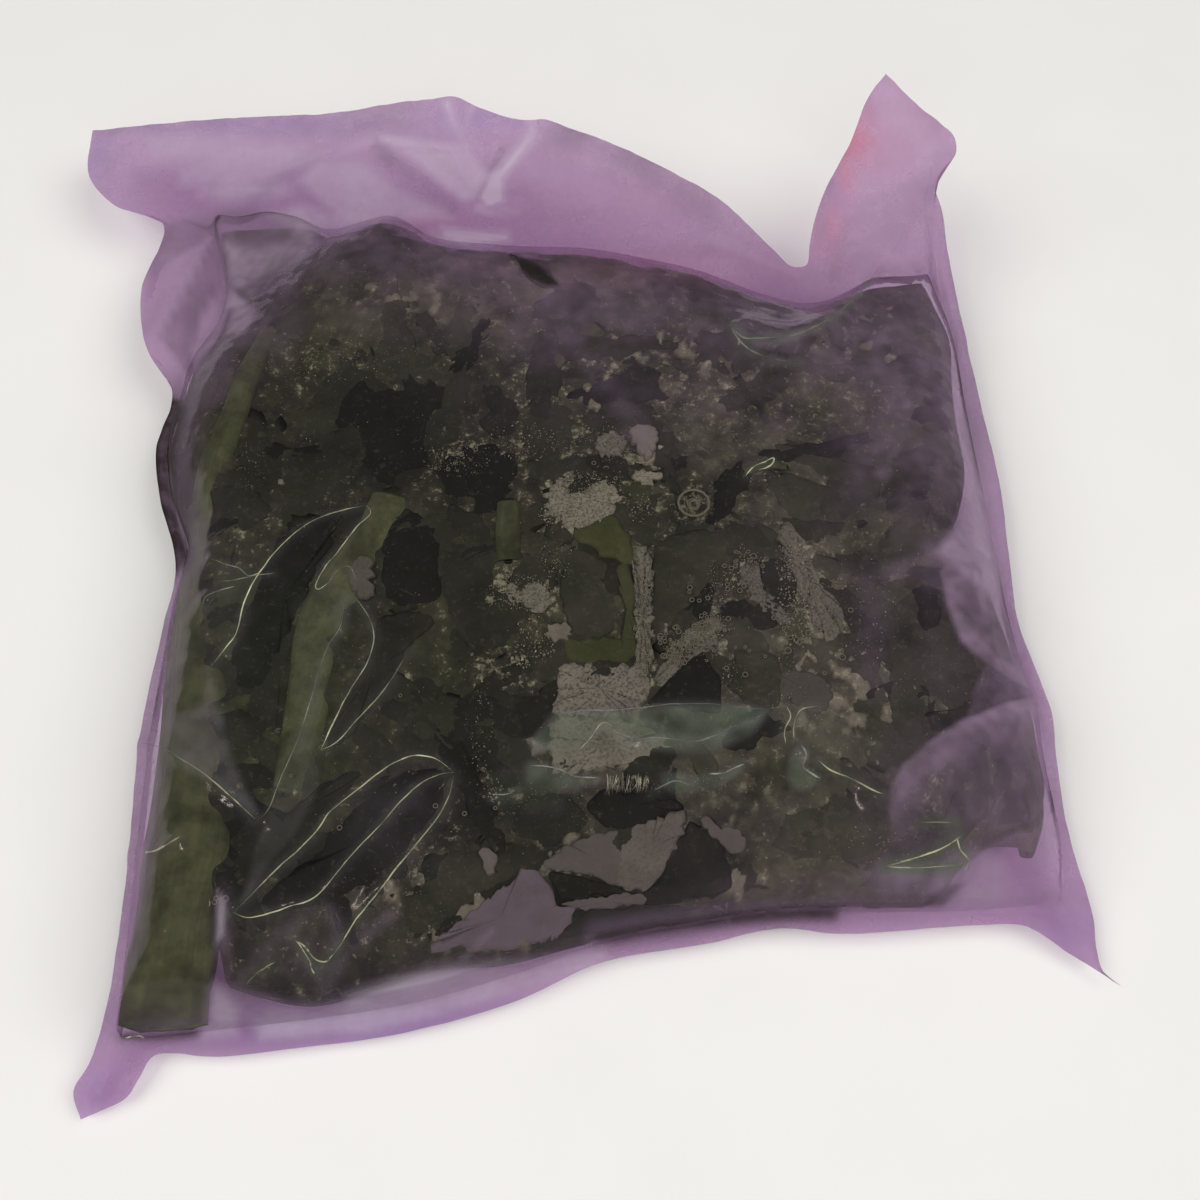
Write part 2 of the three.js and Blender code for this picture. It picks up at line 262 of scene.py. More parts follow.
# %% [markdown]
# ## The shape of the pouch
# The film is a net of cells, stretched between its four welded edges. The filled pillow in the
# middle has its own four sides, and the net's lines are pinned to them, so that the flaps
# outside stay flat. Relaxing the rest moves each point towards the average of its
# neighbours, with weights (Winslow's equations) that keep cells from folding over.

# %% The film's net
CELLS = 48
PILLOW_COLUMNS = (2, 46)
PILLOW_ROWS = (2, 42)
RELAX_SWEEPS = 1200
RELAX_STEP = 0.9    # share of the way to its new place that a point moves in one sweep
FINE = 6            # the film's mesh has this many cells along each side of a net cell

BOTTOM_EDGE = [
    (-73.5, -113.5, 2), (-65.5, -109.5, 2.5), (-62.5, -103.5, 3.5), (-51, -103.5, 3.5),
    (-38, -102, 3), (-19.5, -99.5, 3), (0.5, -94, 3.2), (15.5, -87.5, 4), (35, -84, 4),
    (48, -81.5, 5), (59, -82.5, 5), (83, -81, 5), (93, -81, 4.5), (99, -84.5, 3), (110, -91.5, 1.5),
]
RIGHT_EDGE = [
    (110, -91.5, 1.5), (106, -88.5, 2.5), (105.5, -78.5, 4), (103, -63.5, 6), (102.5, -37.5, 8),
    (99.5, -20, 8.5), (100, -6, 8.5), (100.5, 12.5, 9), (99, 33.5, 10), (95, 68, 17),
    (91.5, 82, 26), (96, 87.5, 32), (87, 98, 35), (81, 106.5, 36),
]
TOP_EDGE = [
    (-110, 114, 13), (-76.5, 112.5, 18), (-47.5, 110, 22), (-22.5, 111, 25), (-6, 106, 24),
    (10.5, 102.5, 23), (27, 94, 22), (44, 81.5, 21), (54, 69.5, 19.5), (61, 63, 18.5),
    (63.5, 72.5, 22), (66.5, 80.5, 26), (72, 89.5, 31), (76.5, 100, 35), (81, 106.5, 36),
]
LEFT_EDGE = [
    (-73.5, -113.5, 2), (-75.5, -110.5, 2.5), (-72.5, -103.5, 4.5), (-71, -95.5, 6),
    (-71, -73, 7.5), (-73, -45, 8), (-72, -23.5, 9), (-71.5, -8, 9.5), (-77, 7.5, 10),
    (-80, 21, 10), (-78.5, 35, 10.5), (-85, 45, 11), (-89.5, 62, 12.5), (-87.5, 83, 13),
    (-99, 88, 13), (-108, 98.5, 13), (-110, 114, 13),
]
PILLOW_BOTTOM = [
    (-67.5, -101), (-49.5, -99), (-32, -97), (-16.5, -94.5), (1, -89.5), (15.5, -84.5),
    (33.5, -81), (48, -79), (81, -78.5), (99, -77),
]
PILLOW_RIGHT = [
    (99, -77), (100.5, -67), (100, -54), (96.5, -16), (96, 3), (95, 28.5), (94.5, 49.5), (91, 66),
]
PILLOW_TOP = [
    (-76, 83), (-56, 84), (-46.5, 79), (-31.5, 82), (-21, 75), (-7, 73), (15.5, 72), (38, 66),
    (60.5, 57), (79.5, 63), (91, 66),
]
PILLOW_LEFT = [
    (-67.5, -101), (-68, -87.5), (-70, -54), (-70, -20.5), (-69, -7), (-74.5, 7.5), (-77, 20.5),
    (-74.5, 37), (-69.5, 52), (-71.5, 68), (-76, 83),
]
NEAR_SEAM, FAR_SEAM = 4.5, 11.5      # heights of the pillow's seam
NEAR_Y, FAR_Y = -100.0, 80.0


def seam_height(y):
    return NEAR_SEAM + (FAR_SEAM - NEAR_SEAM) * (y - NEAR_Y) / (FAR_Y - NEAR_Y)


def with_height(points):
    return np.array([(p[0], p[1], p[2] if len(p) > 2 else seam_height(p[1])) for p in points])


def coons_patch(sides, columns, rows):
    """A grid between four curves (bottom, right, top, left): the blend from left to right plus
    the blend from bottom to top, less the blend of the four corners."""
    bottom, right, top, left = (with_height(side) for side in sides)
    low, high = smooth_curve(bottom, columns + 1)[:, None], smooth_curve(top, columns + 1)[:, None]
    west, east = smooth_curve(left, rows + 1)[None], smooth_curve(right, rows + 1)[None]
    u = np.linspace(0, 1, columns + 1)[:, None, None]
    v = np.linspace(0, 1, rows + 1)[None, :, None]
    corners = (1 - v) * ((1 - u) * low[:1] + u * low[-1:]) + v * ((1 - u) * high[:1] + u * high[-1:])
    return (1 - v) * low + v * high + (1 - u) * west + u * east - corners


def relax(net, pinned, sweeps):
    """Moves each free point of the net: in plan by Winslow's equations, in height to the mean
    of its four neighbours."""
    free = ~pinned[1:-1, 1:-1, None]
    for _ in range(sweeps):
        west, east, south, north = net[:-2, 1:-1], net[2:, 1:-1], net[1:-1, :-2], net[1:-1, 2:]
        across, along = (east - west)[..., :2], (north - south)[..., :2]
        alpha, gamma = (np.square(v).sum(-1, keepdims=True) for v in (along, across))
        beta = (across * along).sum(-1, keepdims=True)
        corners = net[2:, 2:] - net[2:, :-2] - net[:-2, 2:] + net[:-2, :-2]
        plan = (alpha * (west + east) + gamma * (south + north) - beta * corners / 2)
        plan /= 2 * (alpha + gamma)
        plan[..., 2] = (west + east + south + north)[..., 2] / 4
        net[1:-1, 1:-1] += RELAX_STEP * np.where(free, plan - net[1:-1, 1:-1], 0)


def refine(net, factor):
    """Cubic interpolation of a grid along both directions, `factor` steps to a cell."""
    for axis in (0, 1):
        net = np.moveaxis(net, axis, 0)
        cells_count = net.shape[0] - 1
        padded = np.concatenate([2 * net[:1] - net[1:2], net, 2 * net[-1:] - net[-2:-1]])
        place = np.arange(cells_count * factor + 1) / factor
        cell = np.minimum(place.astype(int), cells_count - 1)
        t = (place - cell).reshape(-1, *[1] * (net.ndim - 1))
        p0, p1, p2, p3 = (padded[cell + k] for k in range(4))
        net = p1 + t / 2 * (p2 - p0 + t * (2 * p0 - 5 * p1 + 4 * p2 - p3 + t * (3 * (p1 - p2) + p3 - p0)))
        net = np.moveaxis(net, 0, axis)
    return net


net = coons_patch((BOTTOM_EDGE, RIGHT_EDGE, TOP_EDGE, LEFT_EDGE), CELLS, CELLS)
(left_line, right_line), (low_line, high_line) = PILLOW_COLUMNS, PILLOW_ROWS
inside = np.zeros((CELLS + 1, CELLS + 1), bool)
inside[left_line:right_line + 1, low_line:high_line + 1] = True
seam_pins = inside.copy()
seam_pins[left_line + 1:right_line, low_line + 1:high_line] = False
net[left_line:right_line + 1, low_line:high_line + 1] = coons_patch(
    (PILLOW_BOTTOM, PILLOW_RIGHT, PILLOW_TOP, PILLOW_LEFT), right_line - left_line, high_line - low_line
)
relax(net, seam_pins, RELAX_SWEEPS)
film_net = refine(net, FINE)
in_pillow = np.zeros(film_net.shape[:2], bool)
in_pillow[left_line * FINE:right_line * FINE + 1, low_line * FINE:high_line * FINE + 1] = True
print("film net", film_net.shape, "lowest", film_net[..., 2].min().round(2))

# %% [markdown]
# ## Heights
# The upper sheet climbs from the seam along a quarter of a circle, 20 mm wide, up to the level
# of the slab. Swells, lumps, the ridge of each stalk and the wide folds of film are added to
# it as bell curves. The lower sheet turns in under the seam and lies flat between four corners.

# %% Heights of the two sheets
FILM_GAP = 0.5          # mm between the sheets where the flaps lie together
SLAB_TOP = 26.5
SHOULDER = 20.0
HEEL_CELLS = 2          # net cells from the seam to the flat base
HEEL_SHARE = 0.2
HEEL_WIDTH = 7.8        # mm, what those cells measure
BASE_BOW = 2.5
SWELLS = [              # x, y, reach across, reach along, rise
    (-27, 55, 26, 20, 3), (35, -8, 30, 26, 1.2), (71, 8, 20, 34, 1.5), (15, -44, 20, 14, -2.6),
    (-15, -74, 28, 12, 1.5), (88, -64, 22, 20, -6), (-62, 68, 15, 19, -8), (79, 52, 22, 18, -3),
]
STALK_RIDGES = [        # points, half width, rise
    ([(-61, -99), (-59.5, -79.5), (-58.5, -55), (-58.5, -32), (-58, -6), (-58, 24)], 9, 2.6),
    ([(-21, -3), (-31, -25.5), (-36, -50), (-38.5, -70)], 7, 1.6),
]
FOLDS = [               # points, half width, rise
    ([(95.5, 79), (78, 62), (64.5, 43.5), (55.5, 36), (46, 38)], 4.5, 3),
    ([(44, 40.5), (48.5, 32.5), (58, 29)], 4, 1.6),
    ([(-63, 87.5), (-48.5, 98), (-37, 101.5), (-27, 96.5), (-15, 84.5), (-3, 84)], 5, 3.2),
    ([(-19, 109), (-14.5, 97.5), (-13, 83)], 4, 1.6),
    ([(2.5, 102.5), (-3.5, 95), (-12.5, 84)], 4, 1.6),
    ([(-74.5, 76.5), (-84, 48.5)], 4.5, 2.6),
    ([(-66.5, 59.5), (-73, 36.5)], 4, 2.2),
    ([(99, -41.5), (80.5, -55), (65.5, -66)], 5, 2.6),
    ([(92.5, -13), (81, -24), (77, -32.5)], 4.5, 1.8),
    ([(-46, -83.5), (-31, -67.5), (-9, -60)], 4, 1.4),
    ([(-32, -24), (-25.5, -35.5), (-33, -56.5)], 4, 1.4),
    ([(-29.5, -6), (-44.5, -14.5), (-50, -26), (-55, -39.5)], 4, 1.4),
]
LUMPS = 70
LUMP_FIELD = ((-70, 95), (-95, 75))


def lump_list():
    """Lumps spread evenly by the plastic ratio's steps, with reaches of 6 to 12 mm."""
    k = np.arange(1, LUMPS + 1)
    (left, right), (near, far) = LUMP_FIELD
    x = left + (right - left) * (k * 0.7549 % 1)
    y = near + (far - near) * (k * 0.5698 % 1)
    reach = 6 + 6 * (k * np.sqrt(2) % 1)
    rise = -0.9 + 2.2 * (k * np.e % 1)
    return list(zip(x, y, reach, reach, rise))


bumps = SWELLS + lump_list()
stalk_ridges = [(smooth_curve(p, 8 * len(p)), w, rise) for p, w, rise in STALK_RIDGES]
fold_ridges = [(smooth_curve(p, 8 * len(p)), w, rise) for p, w, rise in FOLDS]
seam_chains = [smooth_curve(p, 60) for p in (PILLOW_BOTTOM, PILLOW_RIGHT, PILLOW_TOP, PILLOW_LEFT)]


def quarter_round(depth, reach, power=2.0):
    """0 at the seam, 1 from `reach` inwards, along a quarter of a (super)ellipse."""
    return (1 - (1 - np.clip(depth / reach, 0, 1)) ** power) ** (1 / power)


def ridge_height(x, y, ridges):
    """The tallest of some ridges, each a bell curve across its line."""
    height = np.zeros(np.shape(x))
    for chain, half_width, rise in ridges:
        height = np.maximum(height, rise * bell(distance_to(x, y, chain, 3 * half_width) / half_width))
    return height


def seam_depth(x, y):
    return np.min([distance_to(x, y, chain, SHOULDER + 2) for chain in seam_chains], axis=0)


def upper_height(x, y, middle, depth):
    """The upper sheet: the height of the seam or flap, blended into the slab's height."""
    fold = ridge_height(x, y, fold_ridges)
    crest = SLAB_TOP + np.maximum(fold, ridge_height(x, y, stalk_ridges))
    for cx, cy, across, along, rise in bumps:
        crest += rise * bell(np.hypot((x - cx) / across, (y - cy) / along))
    climb = quarter_round(depth, SHOULDER)
    return (1 - climb) * (middle + fold + FILM_GAP / 2) + climb * crest


def base_side(start, end, middle):
    """Three points of a side of the flat base: it curves in between its two corners."""
    halfway = (start + end) / 2
    inward = middle - halfway
    halfway = halfway + BASE_BOW * inward / np.linalg.norm(inward)
    return [(*point[:2], 0.0) for point in (start, halfway, end)]


def lower_sheet(net):
    """The lower sheet's points: under the flaps, then a heel line, then the flat base."""
    sheet = net.copy()
    sheet[..., 2] = np.where(inside, seam_height(net[..., 1]), net[..., 2])
    sheet[..., 2] += ridge_height(net[..., 0], net[..., 1], fold_ridges) - FILM_GAP / 2
    i0, i1 = left_line + HEEL_CELLS, right_line - HEEL_CELLS
    j0, j1 = low_line + HEEL_CELLS, high_line - HEEL_CELLS
    near_left, near_right, far_left, far_right = net[i0, j0], net[i1, j0], net[i0, j1], net[i1, j1]
    middle = (near_left + far_right) / 2
    sides = (
        base_side(near_left, near_right, middle), base_side(near_right, far_right, middle),
        base_side(far_left, far_right, middle), base_side(near_left, far_left, middle),
    )
    sheet[i0:i1 + 1, j0:j1 + 1] = coons_patch(sides, i1 - i0, j1 - j0)
    i, j = np.mgrid[0:CELLS + 1, 0:CELLS + 1]
    k, l = np.clip(i, i0, i1), np.clip(j, j0, j1)
    heel = (np.maximum(abs(i - k), abs(j - l)) == 1)
    outer = sheet[(2 * i - k)[heel], (2 * j - l)[heel]]
    line = (sheet[k[heel], l[heel]] + outer) / 2
    line[:, 2] = HEEL_SHARE * outer[:, 2]
    sheet[heel] = line
    return sheet


film_x, film_y = film_net[..., 0], film_net[..., 1]
film_depth = np.where(in_pillow, seam_depth(film_x, film_y), 0)
film_middle = np.where(in_pillow, seam_height(film_y), film_net[..., 2])
film_upper = upper_height(film_x, film_y, film_middle, film_depth)
film_under = refine(lower_sheet(net), FINE)
film_under[..., 2] = np.maximum(film_under[..., 2], 0)
film_grid = np.stack([film_x, film_y, film_upper], -1).reshape(-1, 3)
film_tree = KDTree(len(film_grid))
for k, (right, down) in enumerate(to_picture(film_grid)):
    film_tree.insert((right, down, 0), k)
film_tree.balance()


def on_film(pixels, depth=0.0):
    """The point, in mm, that is `depth` under the film where the picture shows these pixels:
    the average of the four nearest film points, then the same once more for the pixel error."""
    pixels = np.asarray(pixels, float)
    aim = pixels.copy()
    for _ in range(3):
        spots = []
        for right, down in aim.reshape(-1, 2):
            near = film_tree.find_n((right, down, 0), 4)
            weights = np.array([1 / (gap * gap + 0.05) for _, _, gap in near])
            spots.append(weights @ film_grid[[index for _, index, _ in near]] / weights.sum())
        spots = np.array(spots).reshape(*pixels.shape[:-1], 3) - (0, 0, depth)
        aim += pixels - to_picture(spots)
    return spots


print("film heights", film_upper.max().round(1), film_under[..., 2].min().round(2))

# %% [markdown]
# ## The slab
# Juice and melt water froze between the leaves, so the core is one block with an uneven top.
# It is a second pair of sheets, with an outline of its own, because the film is empty at the
# lower right corner and at the upper left one. The outline is drawn in until it lies inside the
# weld, and the sides round off over 4 mm. On the slab's points are painted the amounts of milky
# ice, white rime and green, which its material reads.

# %% The slab's outline
SLAB_CELLS = 276
SLAB_SIDES = {          # pixels of the photograph along each side, and how high that side is, in mm
    "bottom": ([
        (232, 990), (262, 1000), (310, 1008), (370, 996), (440, 974), (505, 967), (590, 962),
        (690, 946), (800, 934), (880, 926), (930, 905), (958, 872), (985, 852), (1008, 846), (1030, 846),
    ], 7.0),
    "right": ([
        (1030, 846), (1042, 815), (1048, 780), (1042, 735), (1024, 690), (1003, 640), (975, 590),
        (946, 548), (957, 518), (962, 480), (953, 430), (950, 390), (952, 340), (940, 268),
    ], 10.0),
    "top": ([
        (222, 240), (262, 226), (310, 222), (340, 222), (372, 208), (402, 208), (430, 228), (462, 236),
        (530, 230), (590, 230), (660, 242), (712, 260), (760, 275), (812, 290), (866, 284), (940, 268),
    ], 14.0),
    "left": ([
        (232, 990), (226, 950), (214, 890), (196, 800), (172, 740), (158, 690), (154, 620), (154, 560),
        (150, 500), (152, 440), (180, 395), (212, 350), (226, 320), (224, 280), (222, 240),
    ], 10.0),
}
SIDE_POINTS, RIM_POINTS = 96, 48        # along each side, for the net and for measuring the rim
SEAM_MARGIN = 0.3       # mm from the pillow's seam to the slab's rim
PILLOW_MIDDLE = np.array([13.0, -10.0])
PULLS, PULL_SHARE = 70, 0.003           # small pulls, so that a point stops close to the seam


def one_outline(bottom, right, top, left):
    """Four sides as one closed chain, with the top and the left side turned round."""
    return np.vstack([bottom[:-1], right[:-1], top[::-1][:-1], left[::-1][:-1]])


pillow_rim = one_outline(*seam_chains)


def keep_in_pillow(points):
    """Draws plan points towards the pillow's middle until they lie inside its seam."""
    for _ in range(PULLS):
        out = depth_inside(*points.T, pillow_rim, 6.0) < SEAM_MARGIN
        points = np.where(out[:, None], points + PULL_SHARE * (PILLOW_MIDDLE - points), points)
    return points


slab_sides = {side: keep_in_pillow(from_picture(*drawn)) for side, drawn in SLAB_SIDES.items()}
for across, along, end_a, end_b in (
    ("bottom", "left", 0, 0), ("bottom", "right", -1, 0), ("top", "left", 0, -1), ("top", "right", -1, -1)
):
    corner = (slab_sides[across][end_a] + slab_sides[along][end_b]) / 2
    slab_sides[across][end_a] = slab_sides[along][end_b] = corner
slab_sides = [keep_in_pillow(smooth_curve(points, SIDE_POINTS)) for points in slab_sides.values()]
slab_net = coons_patch(slab_sides, SLAB_CELLS, SLAB_CELLS)
slab_rim = one_outline(*[smooth_curve(points, RIM_POINTS) for points in slab_sides])
print("slab net", slab_net.shape)

# %% The slab's surface
SLAB_SIDE = 4.0         # mm over which the sides round off
SLAB_GAP = 1.5          # mm from the film down to the ice
FLOOR_GAP = 0.4         # mm from the lower film up to the ice


def floor_height(y, depth):
    """The lower sheet inside the pillow: down from the seam, over the heel, to the flat base."""
    return seam_height(y) * np.interp(depth, (0, HEEL_WIDTH / 2, HEEL_WIDTH), (1, HEEL_SHARE, 0))


def slab_heights(x, y):
    """Upper and lower side of the ice: a little inside the film, and rounded at the rim. The
    third result is the distance from the rim."""
    depth = seam_depth(x, y)
    film = upper_height(x, y, seam_height(y), depth)
    ground = floor_height(y, depth) + FLOOR_GAP
    rim = np.maximum(depth_inside(x, y, slab_rim, SLAB_SIDE + 1), 0)
    middle = 0.45 * film + 0.55 * ground
    top = middle + quarter_round(rim, SLAB_SIDE, 2.2) * (film - SLAB_GAP - middle)
    base = middle + quarter_round(rim, SLAB_SIDE) * (ground - middle)
    return top, base, rim


def ice_top(x, y):
    """The real top of the ice: it lies up to 2 mm lower than slab_heights, rumpled like the
    leaves in it. The second result is the smooth top."""
    smooth_top, _, rim = slab_heights(x, y)
    rumple = 0.55 * noise(x, y, 13, 21) + 0.35 * noise(x, y, 6, 22)
    return smooth_top + quarter_round(rim, 6.0) * (np.minimum(rumple, 0.9) - 0.9), smooth_top


def blobs(pixels, zones):
    """Painted zones: each is (pixel right, pixel down, reach across, reach down, amount), a
    bell in the picture's plane. Where they overlap the strongest counts."""
    amount = np.zeros(pixels.shape[:-1])
    for right, down, across, along, strength in zones:
        spread = np.hypot((pixels[..., 0] - right) / across, (pixels[..., 1] - down) / along)
        amount = np.maximum(amount, strength * bell(spread))
    return amount


RIME_ZONES = [
    (330, 360, 80, 26, 0.25), (455, 455, 60, 30, 0.5), (585, 495, 40, 32, 1.0), (645, 450, 30, 30, 0.6),
    (520, 590, 42, 30, 0.8), (642, 615, 14, 80, 0.9), (700, 630, 40, 36, 0.8), (745, 565, 40, 36, 0.6),
    (805, 580, 36, 60, 0.6), (700, 380, 100, 50, 0.22), (820, 400, 80, 60, 0.16), (600, 360, 40, 40, 0.4),
    (870, 640, 50, 70, 0.35), (500, 670, 34, 26, 0.5), (485, 770, 22, 50, 0.35), (250, 520, 24, 50, 0.25),
    (540, 380, 30, 60, 0.45), (560, 440, 60, 30, 0.45), (690, 500, 26, 26, 0.5), (400, 440, 50, 20, 0.3),
    (910, 860, 50, 14, 0.3), (950, 760, 40, 60, 0.2), (420, 870, 50, 50, 0.25),
]
MILK_ZONES = [
    (603, 690, 40, 30, 0.9), (605, 742, 60, 30, 0.85), (600, 855, 56, 22, 0.8), (480, 925, 56, 30, 0.75),
    (820, 690, 50, 40, 0.5), (352, 572, 18, 24, 0.55), (650, 450, 20, 22, 0.5), (860, 680, 24, 30, 0.5),
    (815, 640, 30, 30, 0.42), (735, 880, 36, 20, 0.4), (860, 720, 40, 40, 0.36), (680, 350, 60, 26, 0.4),
    (430, 900, 70, 26, 0.4), (640, 840, 36, 14, 0.6), (730, 830, 16, 14, 0.5), (620, 920, 50, 12, 0.4),
    (600, 400, 26, 26, 0.42), (740, 800, 40, 20, 0.36), (400, 300, 60, 20, 0.36), (880, 330, 40, 30, 0.36),
]
GREEN_ZONES = [
    (512, 590, 60, 50, 0.9), (420, 540, 60, 50, 0.5), (610, 590, 40, 80, 0.7), (330, 340, 90, 50, 0.7),
    (560, 400, 50, 60, 0.6), (260, 700, 110, 160, 0.9), (820, 620, 60, 60, 0.8), (640, 480, 40, 40, 0.6),
    (430, 650, 60, 80, 0.6), (950, 640, 40, 60, 0.3), (850, 850, 110, 40, 0.6), (1010, 790, 40, 80, 0.9),
    (990, 600, 30, 80, 0.8), (200, 480, 40, 100, 0.8), (800, 760, 80, 40, 0.5), (860, 500, 60, 60, 0.4),
]
LIGHT_ZONES = [         # where the mush is painted paler
    (830, 640, 170, 180, 1.0), (740, 400, 190, 90, 0.8), (810, 860, 150, 60, 0.85), (520, 290, 260, 50, 0.7),
    (950, 380, 60, 110, 0.7), (600, 560, 120, 120, 0.4), (440, 900, 90, 60, 0.6), (350, 330, 110, 60, 0.35),
    (690, 770, 160, 60, 0.75), (190, 480, 40, 120, 0.5), (960, 780, 90, 100, 0.7),
]
slab_x, slab_y = slab_net[..., 0], slab_net[..., 1]
slab_upper, slab_lower, _ = slab_heights(slab_x, slab_y)
slab_pixels = to_picture(np.stack([slab_x, slab_y, slab_upper], -1))
ragged = 0.22 * noise(slab_x, slab_y, 5, 11) + 0.16 * noise(slab_x, slab_y, 2.2, 12)
rime = np.clip(blobs(slab_pixels, RIME_ZONES) + ragged * 0.9, 0, 1)
milk = smooth_step(0.32, 0.5, blobs(slab_pixels, MILK_ZONES) + ragged)
green = np.clip(blobs(slab_pixels, GREEN_ZONES) + ragged, 0, 1)
light = np.clip(blobs(slab_pixels, LIGHT_ZONES) + 0.8 * ragged, 0, 1)
grit = cells(slab_x, slab_y, 1.9, 23)
slab_rough = ice_top(slab_x, slab_y)[0]
slab_upper = slab_rough + 0.7 * milk * (slab_upper - 0.5 - slab_rough) + 0.5 * rime * (0.6 - grit)
slab_lower = np.minimum(slab_lower, slab_upper - 0.01)
slab_points, slab_polygons = two_sheets(
    np.stack([slab_x, slab_y, slab_upper], -1), np.stack([slab_x, slab_y, slab_lower], -1)
)
slab = add_object("frozen_slab", slab_points, slab_polygons)
hidden = len(slab_points) - slab_upper.size
for name, field in (("rime", rime), ("milk", milk), ("green", green), ("light", light)):
    add_attribute(slab, name, np.append(field.ravel(), np.full(hidden, field.mean())))
print("slab points", len(slab_points), "polygons", len(slab_polygons))

# %% [markdown]
# ## Leaves
# Spinach leaves freeze as limp dark sheets pressed against the film. A leaf is a thin solid: its
# outline is a smooth closed curve, and every point between the middle and the outline sits on
# the slab's surface, a little higher in the middle, with waves added. The large ones are
# placed where the photograph shows them; a few hundred scraps fill the rest of the slab.

# %% Leaves
LEAF_RINGS, LEAF_SPOKES = 10, 60


def pull_in(outline, margin=1.2):
    """Draws an outline's points towards its middle until they lie well inside the slab's rim."""
    middle = outline.mean(0)
    for share in (0.85, 0.7, 0.55, 0.4, 0.25):
        out = depth_inside(*outline.T, slab_rim, 6.0) < margin
        outline = np.where(out[:, None], middle + share * (outline - middle), outline)
    return outline


def blade(outline, lift, dome, wave, thickness, seed, rings=LEAF_RINGS, relief=None, flat=0.0):
    """A thin solid on the slab. Its plan is outline × r + middle × (1 - r). Its height is the
    ice's, drawn by `flat` towards the smooth top, plus lift, plus dome × (1 - r²), plus waves; at
    the rim it dips into the ice. The under side lies lower by the thickness, which closes to
    nothing at the rim."""
    spokes = len(outline)
    outline = pull_in(outline)
    middle = outline.mean(0)
    r = np.linspace(0, 1, rings + 1)[1:, None, None]
    plan = middle + r * (outline[None] - middle)
    plan = np.vstack([middle[None], plan.reshape(-1, 2)])
    share = np.append(0, np.repeat(r.ravel(), spokes))
    x, y = plan[:, 0], plan[:, 1]
    ground, smooth_top = ice_top(x, y)
    height = ground + flat * (smooth_top - 0.5 - ground) + lift + dome * (1 - share**2)
    height += wave * noise(x, y, 9, seed)
    if relief is not None:
        height += relief(x, y) * (1 - share**4)
    height = np.minimum(height, smooth_top + 0.8)
    height -= (height - ground + 0.25) * share**rings
    upper = np.column_stack([x, y, height])
    lower = upper.copy()
    lower[:, 2] -= thickness * (1 - share**3)
    points = np.vstack([upper, lower[:-spokes]])
    number = 1 + np.arange(rings * spokes).reshape(rings, spokes)
    nxt = np.roll(number, -1, axis=1)
    under, under_nxt = number + len(upper), nxt + len(upper)
    under[-1], under_nxt[-1] = number[-1], nxt[-1]
    fan = [(0, a, b) for a, b in zip(number[0], nxt[0])]
    fan += [(len(upper), b, a) for a, b in zip(under[0], under_nxt[0])]
    quads = np.stack([number[:-1], number[1:], nxt[1:], nxt[:-1]], -1).reshape(-1, 4).tolist()
    quads += np.stack([under[:-1], under_nxt[:-1], under_nxt[1:], under[1:]], -1).reshape(-1, 4).tolist()
    return points, fan + quads


def join_shapes(shapes):
    """One list of points and polygons from many; the polygons' numbers are moved on."""
    points, polygons, count = [], [], 0
    for shape_points, shape_polygons in shapes:
        points.append(shape_points)
        polygons += [tuple(int(k) + count for k in polygon) for polygon in shape_polygons]
        count += len(shape_points)
    return np.vstack(points), polygons


def per_point(shapes, amounts):
    """One amount for each shape, repeated for all of the shape's points."""
    return np.repeat(amounts, [len(points) for points, _ in shapes])


def outline_from_picture(pixels, count=LEAF_SPOKES, depth=1.5):
    return smooth_curve(on_film(pixels, depth)[:, :2], count + 1, closed=True)[:-1]


def frayed(outline, amount, length, seeds):
    """An outline whose points are moved both ways by noise of this length."""
    return outline + amount * np.stack([noise(*outline.T, length, seed) for seed in seeds], -1)


